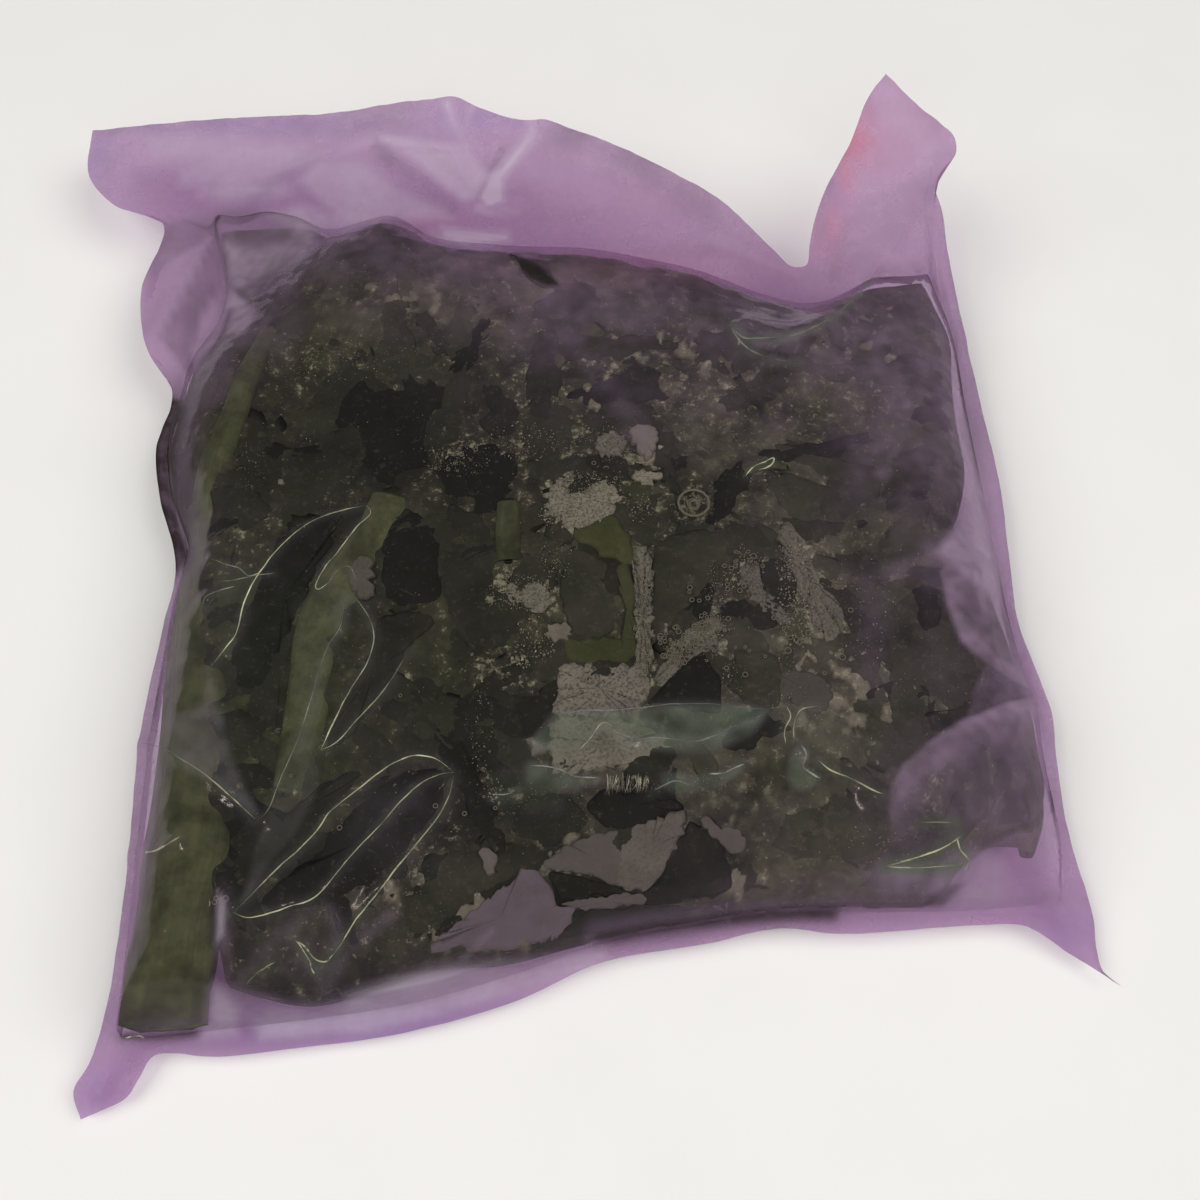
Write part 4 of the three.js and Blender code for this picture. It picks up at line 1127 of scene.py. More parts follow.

# %% [markdown]
# ## The film
# The film gets two more layers of shape: pleats along the creases, and a fine crumple. Its
# look is painted on its points in four amounts. "veil" is how foggy it is. "haze" is what tint
# the fog has: cool, darkened by stain and painted shade, or rosy with painted light. The third
# holds the white of painted highlights, a violet tint and the red of a painted reflection.
# "sleek" is how much it shines. The brightest crease lines are painted highlights: threads
# of their own, laid along the pleats.

# %% Creases and pleats
CREASES = [             # pixels along the line, brightness of the painted highlight at both ends, width in mm, how cool its colour is
    ([(212, 668), (222, 655), (235, 640), (247, 600), (262, 572), (285, 545), (315, 522),
      (345, 512), (367, 508)], 1.0, 0.7, 0.5, 0.0),
    ([(367, 508), (372, 514), (358, 528), (340, 552), (325, 570), (316, 590), (318, 592),
      (330, 585)], 1.0, 0.5, 0.5, 0.0),
    ([(212, 560), (225, 566), (240, 570), (250, 578), (262, 574)], 0.4, 0.6, 0.4, 0.0),
    ([(222, 583), (235, 582), (248, 579), (276, 575)], 0.4, 0.3, 0.35, 0.0),
    ([(204, 610), (206, 600), (222, 592), (236, 588)], 0.3, 0.4, 0.35, 0.0),
    ([(330, 585), (338, 572), (350, 568), (356, 580)], 0.3, 0.2, 0.35, 0.0),
    ([(355, 598), (370, 620), (375, 640), (368, 664), (352, 690), (338, 716), (322, 752)],
      0.3, 0.9, 0.5, 0.0),
    ([(322, 752), (335, 746), (352, 728), (372, 706), (392, 682), (410, 650)],
      0.9, 0.0, 0.45, 0.0),
    ([(345, 602), (341, 630), (330, 645), (320, 672), (312, 700), (300, 738), (284, 774),
      (270, 810), (262, 820), (255, 820)], 0.3, 0.3, 0.45, 0.2),
    ([(137, 745), (160, 748), (185, 762), (205, 775), (225, 792), (245, 810), (256, 820)],
      0.3, 0.5, 0.5, 0.0),
    ([(235, 914), (250, 898), (272, 876), (300, 850), (318, 832), (330, 814), (352, 796),
      (372, 780), (392, 766), (415, 757), (436, 760), (454, 774)], 0.6, 0.8, 0.5, 0.0),
    ([(235, 914), (248, 919), (268, 915), (290, 908), (312, 901), (330, 884), (352, 856),
      (378, 830), (400, 804), (420, 786), (440, 776), (454, 774)], 0.8, 0.5, 0.45, 0.0),
    ([(454, 778), (450, 796), (436, 822), (420, 842), (398, 868), (380, 892), (362, 914),
      (348, 934), (334, 958)], 0.5, 0.7, 0.5, 0.0),
    ([(296, 941), (306, 948), (316, 960), (326, 963), (334, 956)], 0.7, 0.5, 0.45, 0.0),
    ([(298, 942), (308, 958), (316, 977)], 0.7, 0.6, 0.4, 0.0),
    ([(246, 986), (258, 974), (276, 963)], 0.2, 0.5, 0.45, 0.0),
    ([(134, 858), (146, 854), (156, 852), (182, 838)], 0.8, 0.2, 0.7, 0.0),
    ([(818, 762), (830, 772), (846, 778), (862, 786), (876, 794), (884, 796)], 0.5, 0.6, 0.6, 0.0),
    ([(884, 868), (905, 862), (925, 856), (944, 848), (960, 838)], 0.5, 0.9, 0.6, 0.0),
    ([(886, 868), (912, 869), (940, 868), (968, 864)], 0.6, 0.4, 0.45, 0.0),
    ([(955, 838), (960, 852), (968, 862), (962, 874)], 0.8, 0.5, 0.6, 0.0),
    ([(921, 824), (940, 824), (956, 825)], 0.4, 0.2, 0.4, 0.0),
    ([(730, 326), (742, 340), (765, 340), (790, 338), (812, 330), (836, 316), (862, 292),
      (880, 268)], 0.3, 0.12, 0.8, 0.6),
    ([(730, 328), (740, 344), (758, 356), (780, 362), (802, 364)], 0.3, 0.05, 0.8, 0.6),
    ([(579, 752), (590, 740), (604, 724), (612, 728)], 0.6, 0.7, 0.4, 0.4),
    ([(606, 728), (622, 736), (640, 740), (658, 739), (676, 741), (694, 744), (712, 738),
      (732, 728), (752, 722), (766, 712)], 0.5, 0.25, 0.6, 0.9),
    ([(556, 716), (585, 712), (616, 712), (640, 710), (668, 706), (700, 705), (730, 708),
      (766, 711)], 0.3, 0.3, 0.5, 0.9),
    ([(532, 745), (552, 745)], 0.4, 0.3, 0.5, 0.9),
    ([(530, 767), (546, 768), (560, 771), (576, 778), (600, 780)], 0.5, 0.4, 0.5, 0.7),
    ([(708, 775), (722, 775), (735, 769), (744, 766)], 0.4, 0.6, 0.6, 0.9),
    ([(654, 792), (676, 782), (690, 786), (700, 778)], 0.2, 0.4, 0.6, 0.9),
    ([(492, 796), (506, 796), (516, 792)], 0.6, 0.5, 0.45, 0.5),
    ([(745, 478), (752, 470), (764, 464), (774, 460), (770, 468), (758, 472)], 0.8, 0.7, 0.6, 0.1),
    ([(126, 1040), (134, 1037), (146, 1036)], 0.8, 0.6, 0.6, 0.0),
    ([(785, 745), (784, 732), (790, 718), (786, 708)], 0.5, 0.6, 0.5, 0.0),
    ([(793, 742), (794, 724), (800, 712), (816, 708)], 0.4, 0.5, 0.5, 0.0),
    ([(800, 746), (806, 756), (802, 768), (812, 776), (820, 780)], 0.4, 0.7, 0.8, 1.0),
]
GLINTS = [((627, 784), 22, 11, 46)]     # a bristly highlight: its middle and half sizes in pixels, strands
PLEAT_HEIGHT, PLEAT_WIDTH = 0.8, 1.7    # mm
CREASE_SMOOTHING = 4                    # sweeps that even out a crease's line on the lumpy film
FILM_CRUMPLE = ((9.0, 0.16, 301), (4.0, 0.09, 302))      # wavelength, height, seed

crease_lines = []
for pixels, start, end, width, cool in CREASES:
    line = on_film(smooth_curve(pixels, 9 * len(pixels)))
    for _ in range(CREASE_SMOOTHING):
        line[1:-1] = (line[:-2] + 2 * line[1:-1] + line[2:]) / 4
    crease_lines.append((line, start, end, width, cool))


def beside_creases(x, y, width):
    """Near 1 along each crease, falling off like a bell curve of this width in mm."""
    near = np.zeros(np.shape(x))
    for line, start, end, _, _ in crease_lines:
        strength = min(1, 0.4 + start + end)
        near = np.maximum(near, strength * bell(distance_to(x, y, line[::2], 3 * width) / width))
    return near


def pleats(x, y):
    return PLEAT_HEIGHT * beside_creases(x, y, PLEAT_WIDTH)


def crumple_of_film(x, y):
    return sum(height * noise(x, y, length, seed) for length, height, seed in FILM_CRUMPLE)


calm = np.where(in_pillow, smooth_step(1, 9, film_depth), 1.0)      # no crumple right at the weld
film_upper = film_upper + pleats(film_x, film_y) + calm * crumple_of_film(film_x, film_y)
film_upper = np.maximum(film_upper, film_under[..., 2] + 0.2)
print("creases", len(crease_lines), "film top", film_upper.max().round(1))

# %% Where the film is foggy
VEIL_BASE = 0.006
HALO_WIDTH, HALO_VEIL = 1.1, 0.085       # mm, and the fog in the film right beside a crease
RIM_FOG = ((2.0, 0.05), (9.0, 0.24), (7.0, 0.22), (2.5, 0.03))      # width in mm and amount, side by side
VEIL_ZONES = [
    (330, 240, 130, 40, 0.26), (480, 260, 110, 40, 0.3), (600, 290, 150, 50, 0.3),
    (800, 310, 150, 60, 0.28), (870, 340, 80, 60, 0.32), (225, 290, 60, 60, 0.42),
    (156, 640, 9, 70, 0.14), (925, 380, 90, 140, 0.3), (1000, 900, 70, 30, 0.4),
    (915, 880, 46, 24, 0.5), (850, 905, 60, 14, 0.3), (1090, 950, 60, 60, 0.6),
    (970, 800, 90, 70, 0.24), (560, 330, 80, 40, 0.2), (400, 300, 140, 50, 0.07),
    (720, 370, 220, 80, 0.09), (300, 940, 80, 40, 0.04), (860, 880, 130, 24, 0.1),
    (960, 650, 70, 70, 0.08), (875, 620, 24, 90, 0.14), (390, 815, 50, 46, 0.07),
    (850, 560, 120, 140, 0.045), (780, 850, 120, 50, 0.035), (215, 620, 40, 90, 0.05),
    (1025, 868, 26, 26, 0.2), (224, 950, 10, 50, 0.2), (948, 560, 26, 26, 0.5),
]
VEIL_BANDS = [          # pixels along a fold of foggy film, half width in pixels, amount
    ([(889, 575), (915, 565), (940, 556), (960, 546)], 14, 0.24),
    ([(911, 330), (902, 395), (907, 430), (882, 474)], 12, 0.24),
    ([(735, 326), (752, 340), (790, 338), (830, 318), (868, 282), (905, 245), (945, 215)], 9, 0.34),
    ([(735, 328), (748, 348), (775, 360), (805, 358)], 9, 0.2),
    ([(552, 328), (585, 356), (612, 390), (640, 432)], 17, 0.15),
    ([(430, 240), (470, 262), (500, 290), (548, 330)], 18, 0.2),
    ([(240, 996), (300, 1016), (370, 1004), (440, 986), (520, 972)], 7, 0.3),
    ([(325, 985), (350, 950), (390, 915)], 8, 0.14),
    ([(455, 966), (475, 948), (492, 930)], 4, 0.2),
    ([(235, 990), (262, 955), (310, 910)], 9, 0.1),
]
FOLDED_SHEETS = [       # outline in pixels of film folded over, its crease, amounts at the left and at
                        # the right, width of the crease's fog, share of that fog all over the sheet
    ([(940, 572), (948, 606), (962, 641), (996, 670), (1036, 694), (1026, 650), (1014, 610),
      (1002, 578), (984, 556), (958, 545)], [(936, 560), (946, 606), (962, 641), (996, 670),
      (1036, 694)], 0.62, 0.8, 13, 0.7),
    ([(1037, 695), (1003, 704), (960, 722), (925, 745), (902, 766), (889, 790), (892, 860),
      (960, 900), (1040, 880), (1050, 800), (1050, 740)], [(1037, 695), (1003, 706), (960, 726),
      (925, 750), (902, 772), (892, 796)], 0.36, 0.85, 30, 0.3),
    ([(986, 664), (1036, 694), (1000, 704), (968, 716), (974, 690)], [(986, 664), (1036, 694)],
      0.3, 0.5, 16, 0.7),
]
VEIL_PANELS = [         # outline in pixels of a hazy patch between creases, feather, amount, coolness
    ([(170, 719), (201, 705), (209, 675), (218, 702), (233, 763), (258, 817), (214, 782),
      (175, 758)], 5, 0.2, 0.5),
    ([(333, 590), (350, 594), (346, 628), (329, 652), (323, 695), (314, 750), (319, 780),
      (296, 831), (268, 865), (243, 903), (248, 880), (262, 831), (285, 790), (302, 729),
      (319, 672), (334, 634)], 4, 0.085, 0.6),
    ([(322, 902), (334, 906), (344, 938), (334, 956), (328, 930)], 4, 0.1, 0.4),
    ([(296, 941), (316, 960), (330, 962), (316, 977)], 3, 0.12, 0.8),
    ([(295, 600), (320, 590), (334, 610), (325, 650), (305, 700), (292, 700), (296, 650)],
      8, 0.04, 1),
    ([(556, 716), (585, 712), (640, 710), (700, 705), (766, 711), (752, 722), (712, 738),
      (676, 741), (640, 740), (606, 728), (590, 740), (560, 752), (532, 745)], 5, 0.26, 1),
    ([(604, 726), (640, 740), (676, 741), (720, 734), (766, 712), (760, 724), (740, 740),
      (700, 752), (660, 750), (620, 744)], 6, 0.22, 1),
    ([(530, 762), (560, 771), (600, 780), (570, 790), (530, 786)], 6, 0.2, 1),
    ([(660, 775), (708, 775), (744, 766), (730, 780), (700, 792), (670, 792)], 4, 0.16, 1),
    ([(796, 748), (806, 754), (804, 768), (818, 778), (806, 790), (792, 786), (788, 770)],
      4, 0.22, 1),
    ([(486, 778), (520, 770), (560, 790), (560, 810), (520, 812), (490, 800)], 8, 0.06, 1),
    ([(770, 700), (800, 696), (850, 712), (880, 750), (830, 770), (780, 750)], 10, 0.03, 0.6),
]
COOL_ZONES = [
    (290, 680, 130, 200, 0.85), (660, 735, 120, 34, 1.0), (560, 755, 50, 30, 0.8),
    (810, 770, 40, 24, 0.9), (690, 780, 90, 18, 0.8),
]

# %% Where the film is stained, painted with shade and highlights, or tinted
DUSK_OUTLINE = [        # pixels of the grey brown fog at the upper left, where the film is stained and painted with shade
    (160, 225), (208, 209), (291, 209), (316, 229), (300, 262), (246, 280), (232, 330), (222, 400),
    (190, 410), (165, 385), (150, 340), (142, 290), (150, 250),
]
# Darker fog along edges and folds of the flaps: stain and painted shade.
DUSK_ZONES = [
    (340, 160, 30, 10, 0.25), (265, 126, 60, 10, 0.3), (105, 150, 14, 26, 0.35),
    (560, 215, 60, 8, 0.2), (880, 274, 60, 12, 0.5), (960, 320, 18, 90, 0.4),
    (974, 410, 16, 70, 0.4), (1000, 640, 20, 40, 0.5), (700, 250, 60, 12, 0.3),
    (240, 1030, 40, 10, 0.2),
]
PALE_ZONES = [          # pixels and amounts of fogginess added to the flaps
    (400, 140, 30, 14, 0.14), (540, 180, 60, 20, 0.12), (650, 200, 60, 20, 0.1), (900, 130, 30, 30, 0.14),
    (400, 1025, 240, 26, 0.22), (250, 190, 60, 8, 0.2), (110, 1070, 30, 30, 0.1),
]
FACETS = [              # outline in pixels of a flat between folds, feather, added fog, stain and painted shade, white of a painted highlight
    ([(316, 162), (300, 180), (320, 200), (345, 226), (394, 222), (452, 218), (440, 208),
      (400, 190), (360, 160)], 8, 0.15, 0, 0.45),
    ([(262, 214), (300, 204), (345, 214), (380, 222), (340, 234), (300, 228)], 8, 0.1, 0, 0.35),
    ([(378, 134), (410, 138), (466, 146), (468, 150), (420, 152), (392, 146)], 5, 0, 0, 0.6),
    ([(400, 150), (468, 150), (492, 176), (476, 200), (462, 200), (430, 176)], 6, 0.1, 0, 0.6),
    ([(478, 198), (490, 172), (504, 164), (504, 202), (488, 208)], 5, 0, 0, 0.75),
    ([(440, 226), (470, 230), (510, 232), (510, 242), (470, 246), (442, 242)], 5, 0, 0, 0.7),
    ([(150, 136), (210, 134), (280, 144), (290, 156), (240, 164), (200, 168), (150, 162)],
      12, 0.05, 0, 0.3),
    ([(240, 144), (330, 150), (310, 164), (250, 186), (180, 186), (180, 170)], 8, 0.1, 0, 0.4),
    ([(210, 238), (160, 270), (138, 300), (140, 336), (156, 338), (178, 300)], 6, 0.12, -0.7, 0),
    ([(207, 241), (229, 269), (218, 291), (196, 342), (192, 365), (155, 335), (183, 283)],
      5, 0, 0.1, 0),
    ([(222, 289), (226, 310), (214, 342), (196, 377), (192, 350), (206, 309)], 5, 0.2, -0.8, 0),
    ([(224, 286), (257, 311), (244, 333), (228, 332), (236, 306), (226, 306)], 5, 0.5, -0.9, 0.12),
    ([(226, 244), (290, 246), (280, 262), (250, 290), (226, 284)], 10, 0.3, -0.3, 0.14),
    ([(200, 176), (280, 170), (290, 196), (240, 204), (196, 198)], 10, 0.1, 0, 0.3),
    ([(157, 337), (189, 379), (176, 394), (143, 342)], 5, 0.1, -0.7, 0),
    ([(174, 212), (303, 208), (308, 236), (250, 240), (178, 236)], 8, 0.1, -0.1, 0),
    ([(866, 84), (886, 82), (920, 112), (950, 146), (930, 156), (880, 120)], 5, 0, 0, 0.15),
    ([(824, 250), (866, 200), (930, 168), (940, 190), (900, 250), (830, 280)], 8, 0, 0.32, 0),
    ([(936, 552), (960, 520), (972, 486), (962, 440), (966, 400), (986, 430), (1004, 500),
      (1012, 580), (1000, 600)], 7, 0.42, 0, 0.1),
    ([(250, 1018), (320, 1014), (380, 998), (440, 980), (520, 968), (590, 958), (600, 966),
      (520, 992), (440, 1014), (370, 1032), (260, 1040)], 8, 0.2, 0, 0.45),
    ([(208, 986), (224, 992), (240, 1010), (236, 1036), (200, 1040)], 9, 0.2, 0, 0.45),
    ([(217, 890), (226, 900), (224, 934), (216, 944)], 4, 0.4, 0, 0.5),
    ([(946, 852), (968, 848), (1000, 856), (1016, 884), (1000, 904), (950, 904), (936, 890)],
      12, 0.2, 0, 0.1),
    ([(300, 222), (322, 226), (316, 250), (290, 290), (262, 292), (280, 262)], 8, 0.2, -0.3, 0.1),
    ([(700, 240), (760, 262), (800, 276), (770, 262), (720, 232)], 5, 0, 0, 0.2),
]
STREAKS = [             # pixels along a fold of a flap, half width in pixels, stain and painted shade, white of a painted highlight
    ([(447, 104), (452, 118), (462, 138), (468, 158)], 5, 0, 0.75),
    ([(472, 106), (466, 124), (462, 138)], 4, 0, 0.4),
    ([(530, 118), (531, 134), (520, 150), (506, 168), (488, 190)], 6, 0, 0.7),
    ([(478, 208), (496, 212), (518, 212)], 4, 0, 0.7),
    ([(382, 138), (404, 144), (432, 148)], 4, 0, 0.6),
    ([(232, 190), (262, 190)], 4, 0, 0.4),
    ([(306, 182), (330, 162), (352, 148), (372, 140)], 4, 0, 0.3),
    ([(430, 232), (455, 240), (480, 244)], 5, 0, 0.6),
    ([(375, 148), (400, 168), (430, 188), (452, 206)], 7, 0.5, 0),
    ([(502, 150), (490, 172), (476, 198)], 4, 0.4, 0),
    ([(90, 128), (170, 124), (260, 120), (340, 120), (400, 112)], 16, 0.42, 0),
    ([(560, 136), (600, 150), (660, 176), (710, 210)], 20, 0.55, 0),
    ([(836, 150), (826, 190), (820, 240)], 9, 0.35, 0),
    ([(350, 1000), (420, 981), (480, 969), (540, 963), (600, 956)], 9, 0, 0.6),
    ([(270, 1020), (330, 1012), (380, 994)], 7, 0, 0.5),
    ([(1000, 850), (1020, 858), (1036, 884)], 16, 0.35, 0),
]
WELD_STAIN = 0.85       # stain and fog where wet leaf reaches the weld
NEAR_SEAL = (-88, -76)  # mm from the near seal, which is unstained, to where the weld's stain is full
STAINED_RIMS = [        # pixels along flaps that wet leaf has stained dark, half width in pixels, amount
    ([(170, 412), (163, 430), (160, 450), (160, 480), (164, 520), (174, 556)], 22, 1.3),
    ([(600, 938), (660, 928), (720, 920), (790, 914), (830, 914)], 13, 0.95),
    ([(124, 1036), (160, 1036), (196, 1032)], 8, 0.9),
]
VIOLET_ZONES = [        # bluer flaps
    (250, 124, 110, 12, 0.9), (100, 150, 20, 30, 0.7), (470, 120, 60, 16, 0.7), (420, 1030, 260, 30, 0.6),
    (840, 190, 12, 20, 0.9), (90, 1090, 30, 30, 0.4), (1070, 930, 40, 30, 0.3),
]
# A painted red reflection on the upper right corner of the top flap.
RED_REFLECTION_ZONES = [(862, 142, 14, 24, 1.0), (846, 176, 10, 24, 0.9), (834, 225, 9, 30, 0.7)]
# Rosy painted light: a reflection on the upper right corner of the top flap, and the flap painted lighter
# where it curves up to the pillow.
ROSY_LIGHT_ZONES = [
    (848, 165, 14, 50, 1.0), (880, 140, 60, 70, 0.45), (660, 265, 160, 26, 0.4), (820, 235, 24, 30, 0.8),
    (430, 225, 60, 16, 0.3), (600, 220, 120, 60, 0.2),
]

# %% The film's fog
film_pixels = to_picture(np.stack([film_x, film_y, film_upper], -1))
film_right, film_down = film_pixels[..., 0], film_pixels[..., 1]


def film_noise(length, seed):
    return noise(film_x, film_y, length, seed)


def panel(outline, outer, inner=None):
    """1 on the film inside an outline in the picture and 0 outside it, with a soft border from
    `outer` pixels outside the line to `inner` pixels inside it."""
    inner = outer if inner is None else inner
    depth = depth_inside(film_right, film_down, np.asarray(outline, float), 2 * max(outer, inner))
    return smooth_step(-outer, inner, depth)


def band(pixels, half_width, steps=30):
    """A bell curve on the film across a line in the picture."""
    gap = distance_to(film_right, film_down, smooth_curve(pixels, steps), 3 * half_width)
    return bell(gap / half_width)


veil = VEIL_BASE + blobs(film_pixels, VEIL_ZONES)
veil = veil * (1 + 0.3 * film_noise(12, 81) + 0.2 * film_noise(4, 82))
patchy = 1 + 0.35 * film_noise(5, 84)
for pixels, half_width, amount in VEIL_BANDS:
    veil = np.maximum(veil, VEIL_BASE + amount * band(pixels, half_width) * patchy)
patchy = 1 + 0.2 * film_noise(7, 85) + 0.15 * film_noise(3, 86)
for pixels, crease, left, right, width, everywhere in FOLDED_SHEETS:
    sheet = panel(pixels, 6, 4) * (everywhere + (1 - everywhere) * band(crease, width, 40))
    sheet = sheet * np.interp(film_right, (np.min(pixels, 0)[0], np.max(pixels, 0)[0]), (left, right))
    veil = np.maximum(veil, sheet * patchy)
cool = blobs(film_pixels, COOL_ZONES)
patchy = 1 + 0.35 * film_noise(5, 88)
for pixels, feather, amount, coolness in VEIL_PANELS:
    patch = panel(smooth_curve(pixels, 8 * len(pixels), closed=True)[:-1], feather)
    veil = veil + amount * patch * patchy
    cool = np.maximum(cool, coolness * patch)
veil = veil + 0.04 * cool * (0.5 + 0.5 * film_noise(6, 88))
halo = beside_creases(film_x, film_y, HALO_WIDTH)
over_slab = depth_inside(film_x, film_y, slab_rim, 6.0)
thick_stalk = on_film(smooth_curve(np.array(STALK_PATHS[0][0])[:, :2], 24))
over_slab = np.maximum(over_slab, 7.0 - distance_to(film_x, film_y, thick_stalk, 10.0))
flap = np.maximum(1 - smooth_step(0, 0.5, film_depth), 1 - smooth_step(-1.5, 0.5, over_slab))
cool = np.maximum(cool, 0.9 * halo * (1 - flap))
veil = veil + HALO_VEIL * halo * (1 - flap)
streaks = noise(0.35 * film_x + 0.8 * film_y, 0.8 * film_x - 0.35 * film_y, 16, 91)
for (width, fog), chain in zip(RIM_FOG, seam_chains):
    along_weld = bell(distance_to(film_x, film_y, chain, 2.5 * width) / width)
    veil = veil + fog * along_weld * (1 + 0.35 * streaks)
flap_veil = 0.38 + 0.06 * film_noise(14, 83) + blobs(film_pixels, PALE_ZONES)
veil = np.maximum(veil, flap * flap_veil)
print("veil", veil.min().round(2), veil.max().round(2))

# %% The film's stains, painted shade, painted highlights and tints
# The grey brown fog at the upper left is a stain with painted shade over it.
shaded_stain = panel(smooth_curve(DUSK_OUTLINE, 90, closed=True)[:-1], 8, 12) * (1 + 0.15 * streaks)
stain_and_shade = np.maximum(0.4 * shaded_stain, 0.65 * blobs(film_pixels, DUSK_ZONES))
veil = veil + 0.3 * shaded_stain
# White is painted highlight and sheen, on the flaps and along the near rim.
white = np.zeros(film_x.shape)
for pixels, feather, fog, shade, highlight_amount in FACETS:
    facet = panel(pixels, feather)
    veil = veil + fog * facet
    stain_and_shade = np.maximum(stain_and_shade + shade * facet, 0)
    white = np.maximum(white, highlight_amount * facet)
for pixels, half_width, amount in STAINED_RIMS:
    rim_stain = amount * band(pixels, half_width)
    stain_and_shade = np.maximum(stain_and_shade, rim_stain)
    veil = np.maximum(veil, 0.9 * rim_stain)
for pixels, half_width, shade, highlight_amount in STREAKS:
    streak = band(pixels, half_width) * (0.8 + 0.4 * streaks)
    stain_and_shade = np.maximum(stain_and_shade, shade * streak)
    white = np.maximum(white, highlight_amount * streak)
# Stain gathers beside the weld, where the slab's rim reaches it, but not along the near seal.
beside_weld = smooth_step(0, 0.5, film_depth) * (1 - smooth_step(2, 3.5, film_depth))
at_rim = smooth_step(-3, -1, over_slab) * (1 - smooth_step(-0.5, 1, over_slab))
ring = WELD_STAIN * beside_weld * at_rim * smooth_step(*NEAR_SEAL, film_y)
stain_and_shade = np.maximum(stain_and_shade, ring)
veil = np.maximum(veil, ring)
veil = np.clip(veil * (1 - 0.9 * panel(SPINDLE_LEAF, 3)), 0, 0.9)       # this leaf presses on the film
sleek = 0.15 + 0.85 * smooth_step(3, 11, film_depth)      # crinkled near the weld and on the flaps
# The fog's tints: cool, stain with painted shade, and rosy painted light.
haze = np.stack([np.clip(cool, 0, 1), np.clip(stain_and_shade, 0, 1), blobs(film_pixels, ROSY_LIGHT_ZONES)], -1)
# The white of painted highlights, a violet tint, and a red painted reflection.
tint_and_highlight = np.stack([white, blobs(film_pixels, VIOLET_ZONES), blobs(film_pixels, RED_REFLECTION_ZONES)], -1)
print("mean haze", haze.mean((0, 1)).round(3), "mean dye", tint_and_highlight.mean((0, 1)).round(3))

# %% The film's mesh
film_points, film_polygons = two_sheets(np.stack([film_x, film_y, film_upper], -1), film_under)
film = add_object("film", film_points, film_polygons)
under_veil = np.where(in_pillow, 0.12, 0.38)[::LOWER_STEP, ::LOWER_STEP][1:-1, 1:-1]
add_attribute(film, "veil", np.append(veil.ravel(), under_veil.ravel()))
add_attribute(film, "sleek", np.append(sleek.ravel(), np.full(under_veil.size, 0.15)))
for name, field in (("haze", haze), ("tint_and_highlight", tint_and_highlight)):
    add_attribute(film, name, np.vstack([field.reshape(-1, 3), np.zeros((under_veil.size, 3))]))
edges = np.zeros(2 * len(film.data.edges), int)
film.data.edges.foreach_get("vertices", edges)
rim_line = np.pad(np.zeros(np.array(film_upper.shape) - 2, bool), 1, constant_values=True)
around = (in_pillow[:-2, 1:-1], in_pillow[2:, 1:-1], in_pillow[1:-1, :-2], in_pillow[1:-1, 2:])
weld_line = in_pillow & np.pad(~np.all(around, axis=0), 1)
sharp = np.zeros(len(film.data.edges), bool)
for line in (rim_line, weld_line):
    marked = np.zeros(len(film_points), bool)
    marked[:film_upper.size] = line.ravel()
    sharp |= marked[edges].reshape(-1, 2).all(1)
film.data.edges.foreach_set("use_edge_sharp", sharp)
print("film points", len(film_points), "polygons", len(film_polygons))

# %% Threads of painted highlight along the creases
THREAD_SIDES = 8
thread_shapes, thread_shine = [], []
rng = np.random.default_rng(303)
strands = list(crease_lines)
for (right, down), across, along, count in GLINTS:
    for k in range(count):
        x0, y0 = right + across * rng.uniform(-1, 1), down + 3 * rng.uniform(-1, 1)
        lean, reach = rng.uniform(-1, 3), along * rng.uniform(0.25, 1.0)
        pixels = [(x0 + lean, y0 - reach), (x0 + rng.uniform(-1, 1), y0), (x0 - lean, y0 + reach)]
        strands.append((on_film(smooth_curve(pixels, 8)), rng.uniform(0.2, 0.9), 0.2, 0.22, 0.1))
for line, start, end, width, _ in strands:
    steps = len(line)
    share = np.linspace(0, 1, steps)
    knots = np.cumsum(rng.uniform(1, 9, steps))
    wave = 0.8 + 0.45 * np.interp(share * steps, knots, rng.uniform(-1, 1, steps))
    shine = np.clip((start + (end - start) * share) * wave, 0.04, 1.2)
    taper = np.clip(np.minimum(share, 1 - share) * 9, 0.12, 1)
    half = 0.26 * width * taper * (0.5 + 0.5 * np.clip(wave, 0, 1.5))
    spine = line.copy()
    spine[:, 2] += pleats(*line[:, :2].T) + crumple_of_film(*line[:, :2].T)
    thread_shapes.append(tube(spine, half, half * 0.7, cut=0.05, sides=THREAD_SIDES))
    thread_shine.append(np.append(np.repeat(shine, THREAD_SIDES), (shine[0], shine[-1])))
thread_points, thread_polygons = join_shapes(thread_shapes)
# These threads are painted highlights: pale tubes along the brightest crease lines.
highlight_threads = add_object("painted_crease_highlights", thread_points, thread_polygons)
add_attribute(highlight_threads, "shine", np.concatenate(thread_shine))
add_attribute(highlight_threads, "cool", per_point(thread_shapes, [cool_here for *_, cool_here in strands]))
print("highlight_threads", len(thread_shapes))

# %% [markdown]
# ## Materials
# Every material is nodes, in real sizes: a node's Object coordinates are metres, so a pattern
# that repeats every `n` millimetres has a scale of 1000 / n.


# %% Node helpers
FILM_TINT = (0.868, 0.755, 0.888, 1.0)
LIGHT_LEVEL = 0.72      # how bright a white surface lying under the lights comes out


def colour(hex_code):
    """An sRGB hex code as the linear colour that the shaders use."""
    srgb = np.array([int(hex_code[k:k + 2], 16) for k in (0, 2, 4)]) / 255
    return (*np.where(srgb <= 0.04045, srgb / 12.92, ((srgb + 0.055) / 1.055) ** 2.4), 1.0)


def seen(hex_code):
    """The colour that something under the film needs, to look like this in the picture: light
    passes the film on its way in and on its way out."""
    return (*np.array(colour(hex_code)[:3]) / np.square(FILM_TINT[:3]) / LIGHT_LEVEL, 1.0)


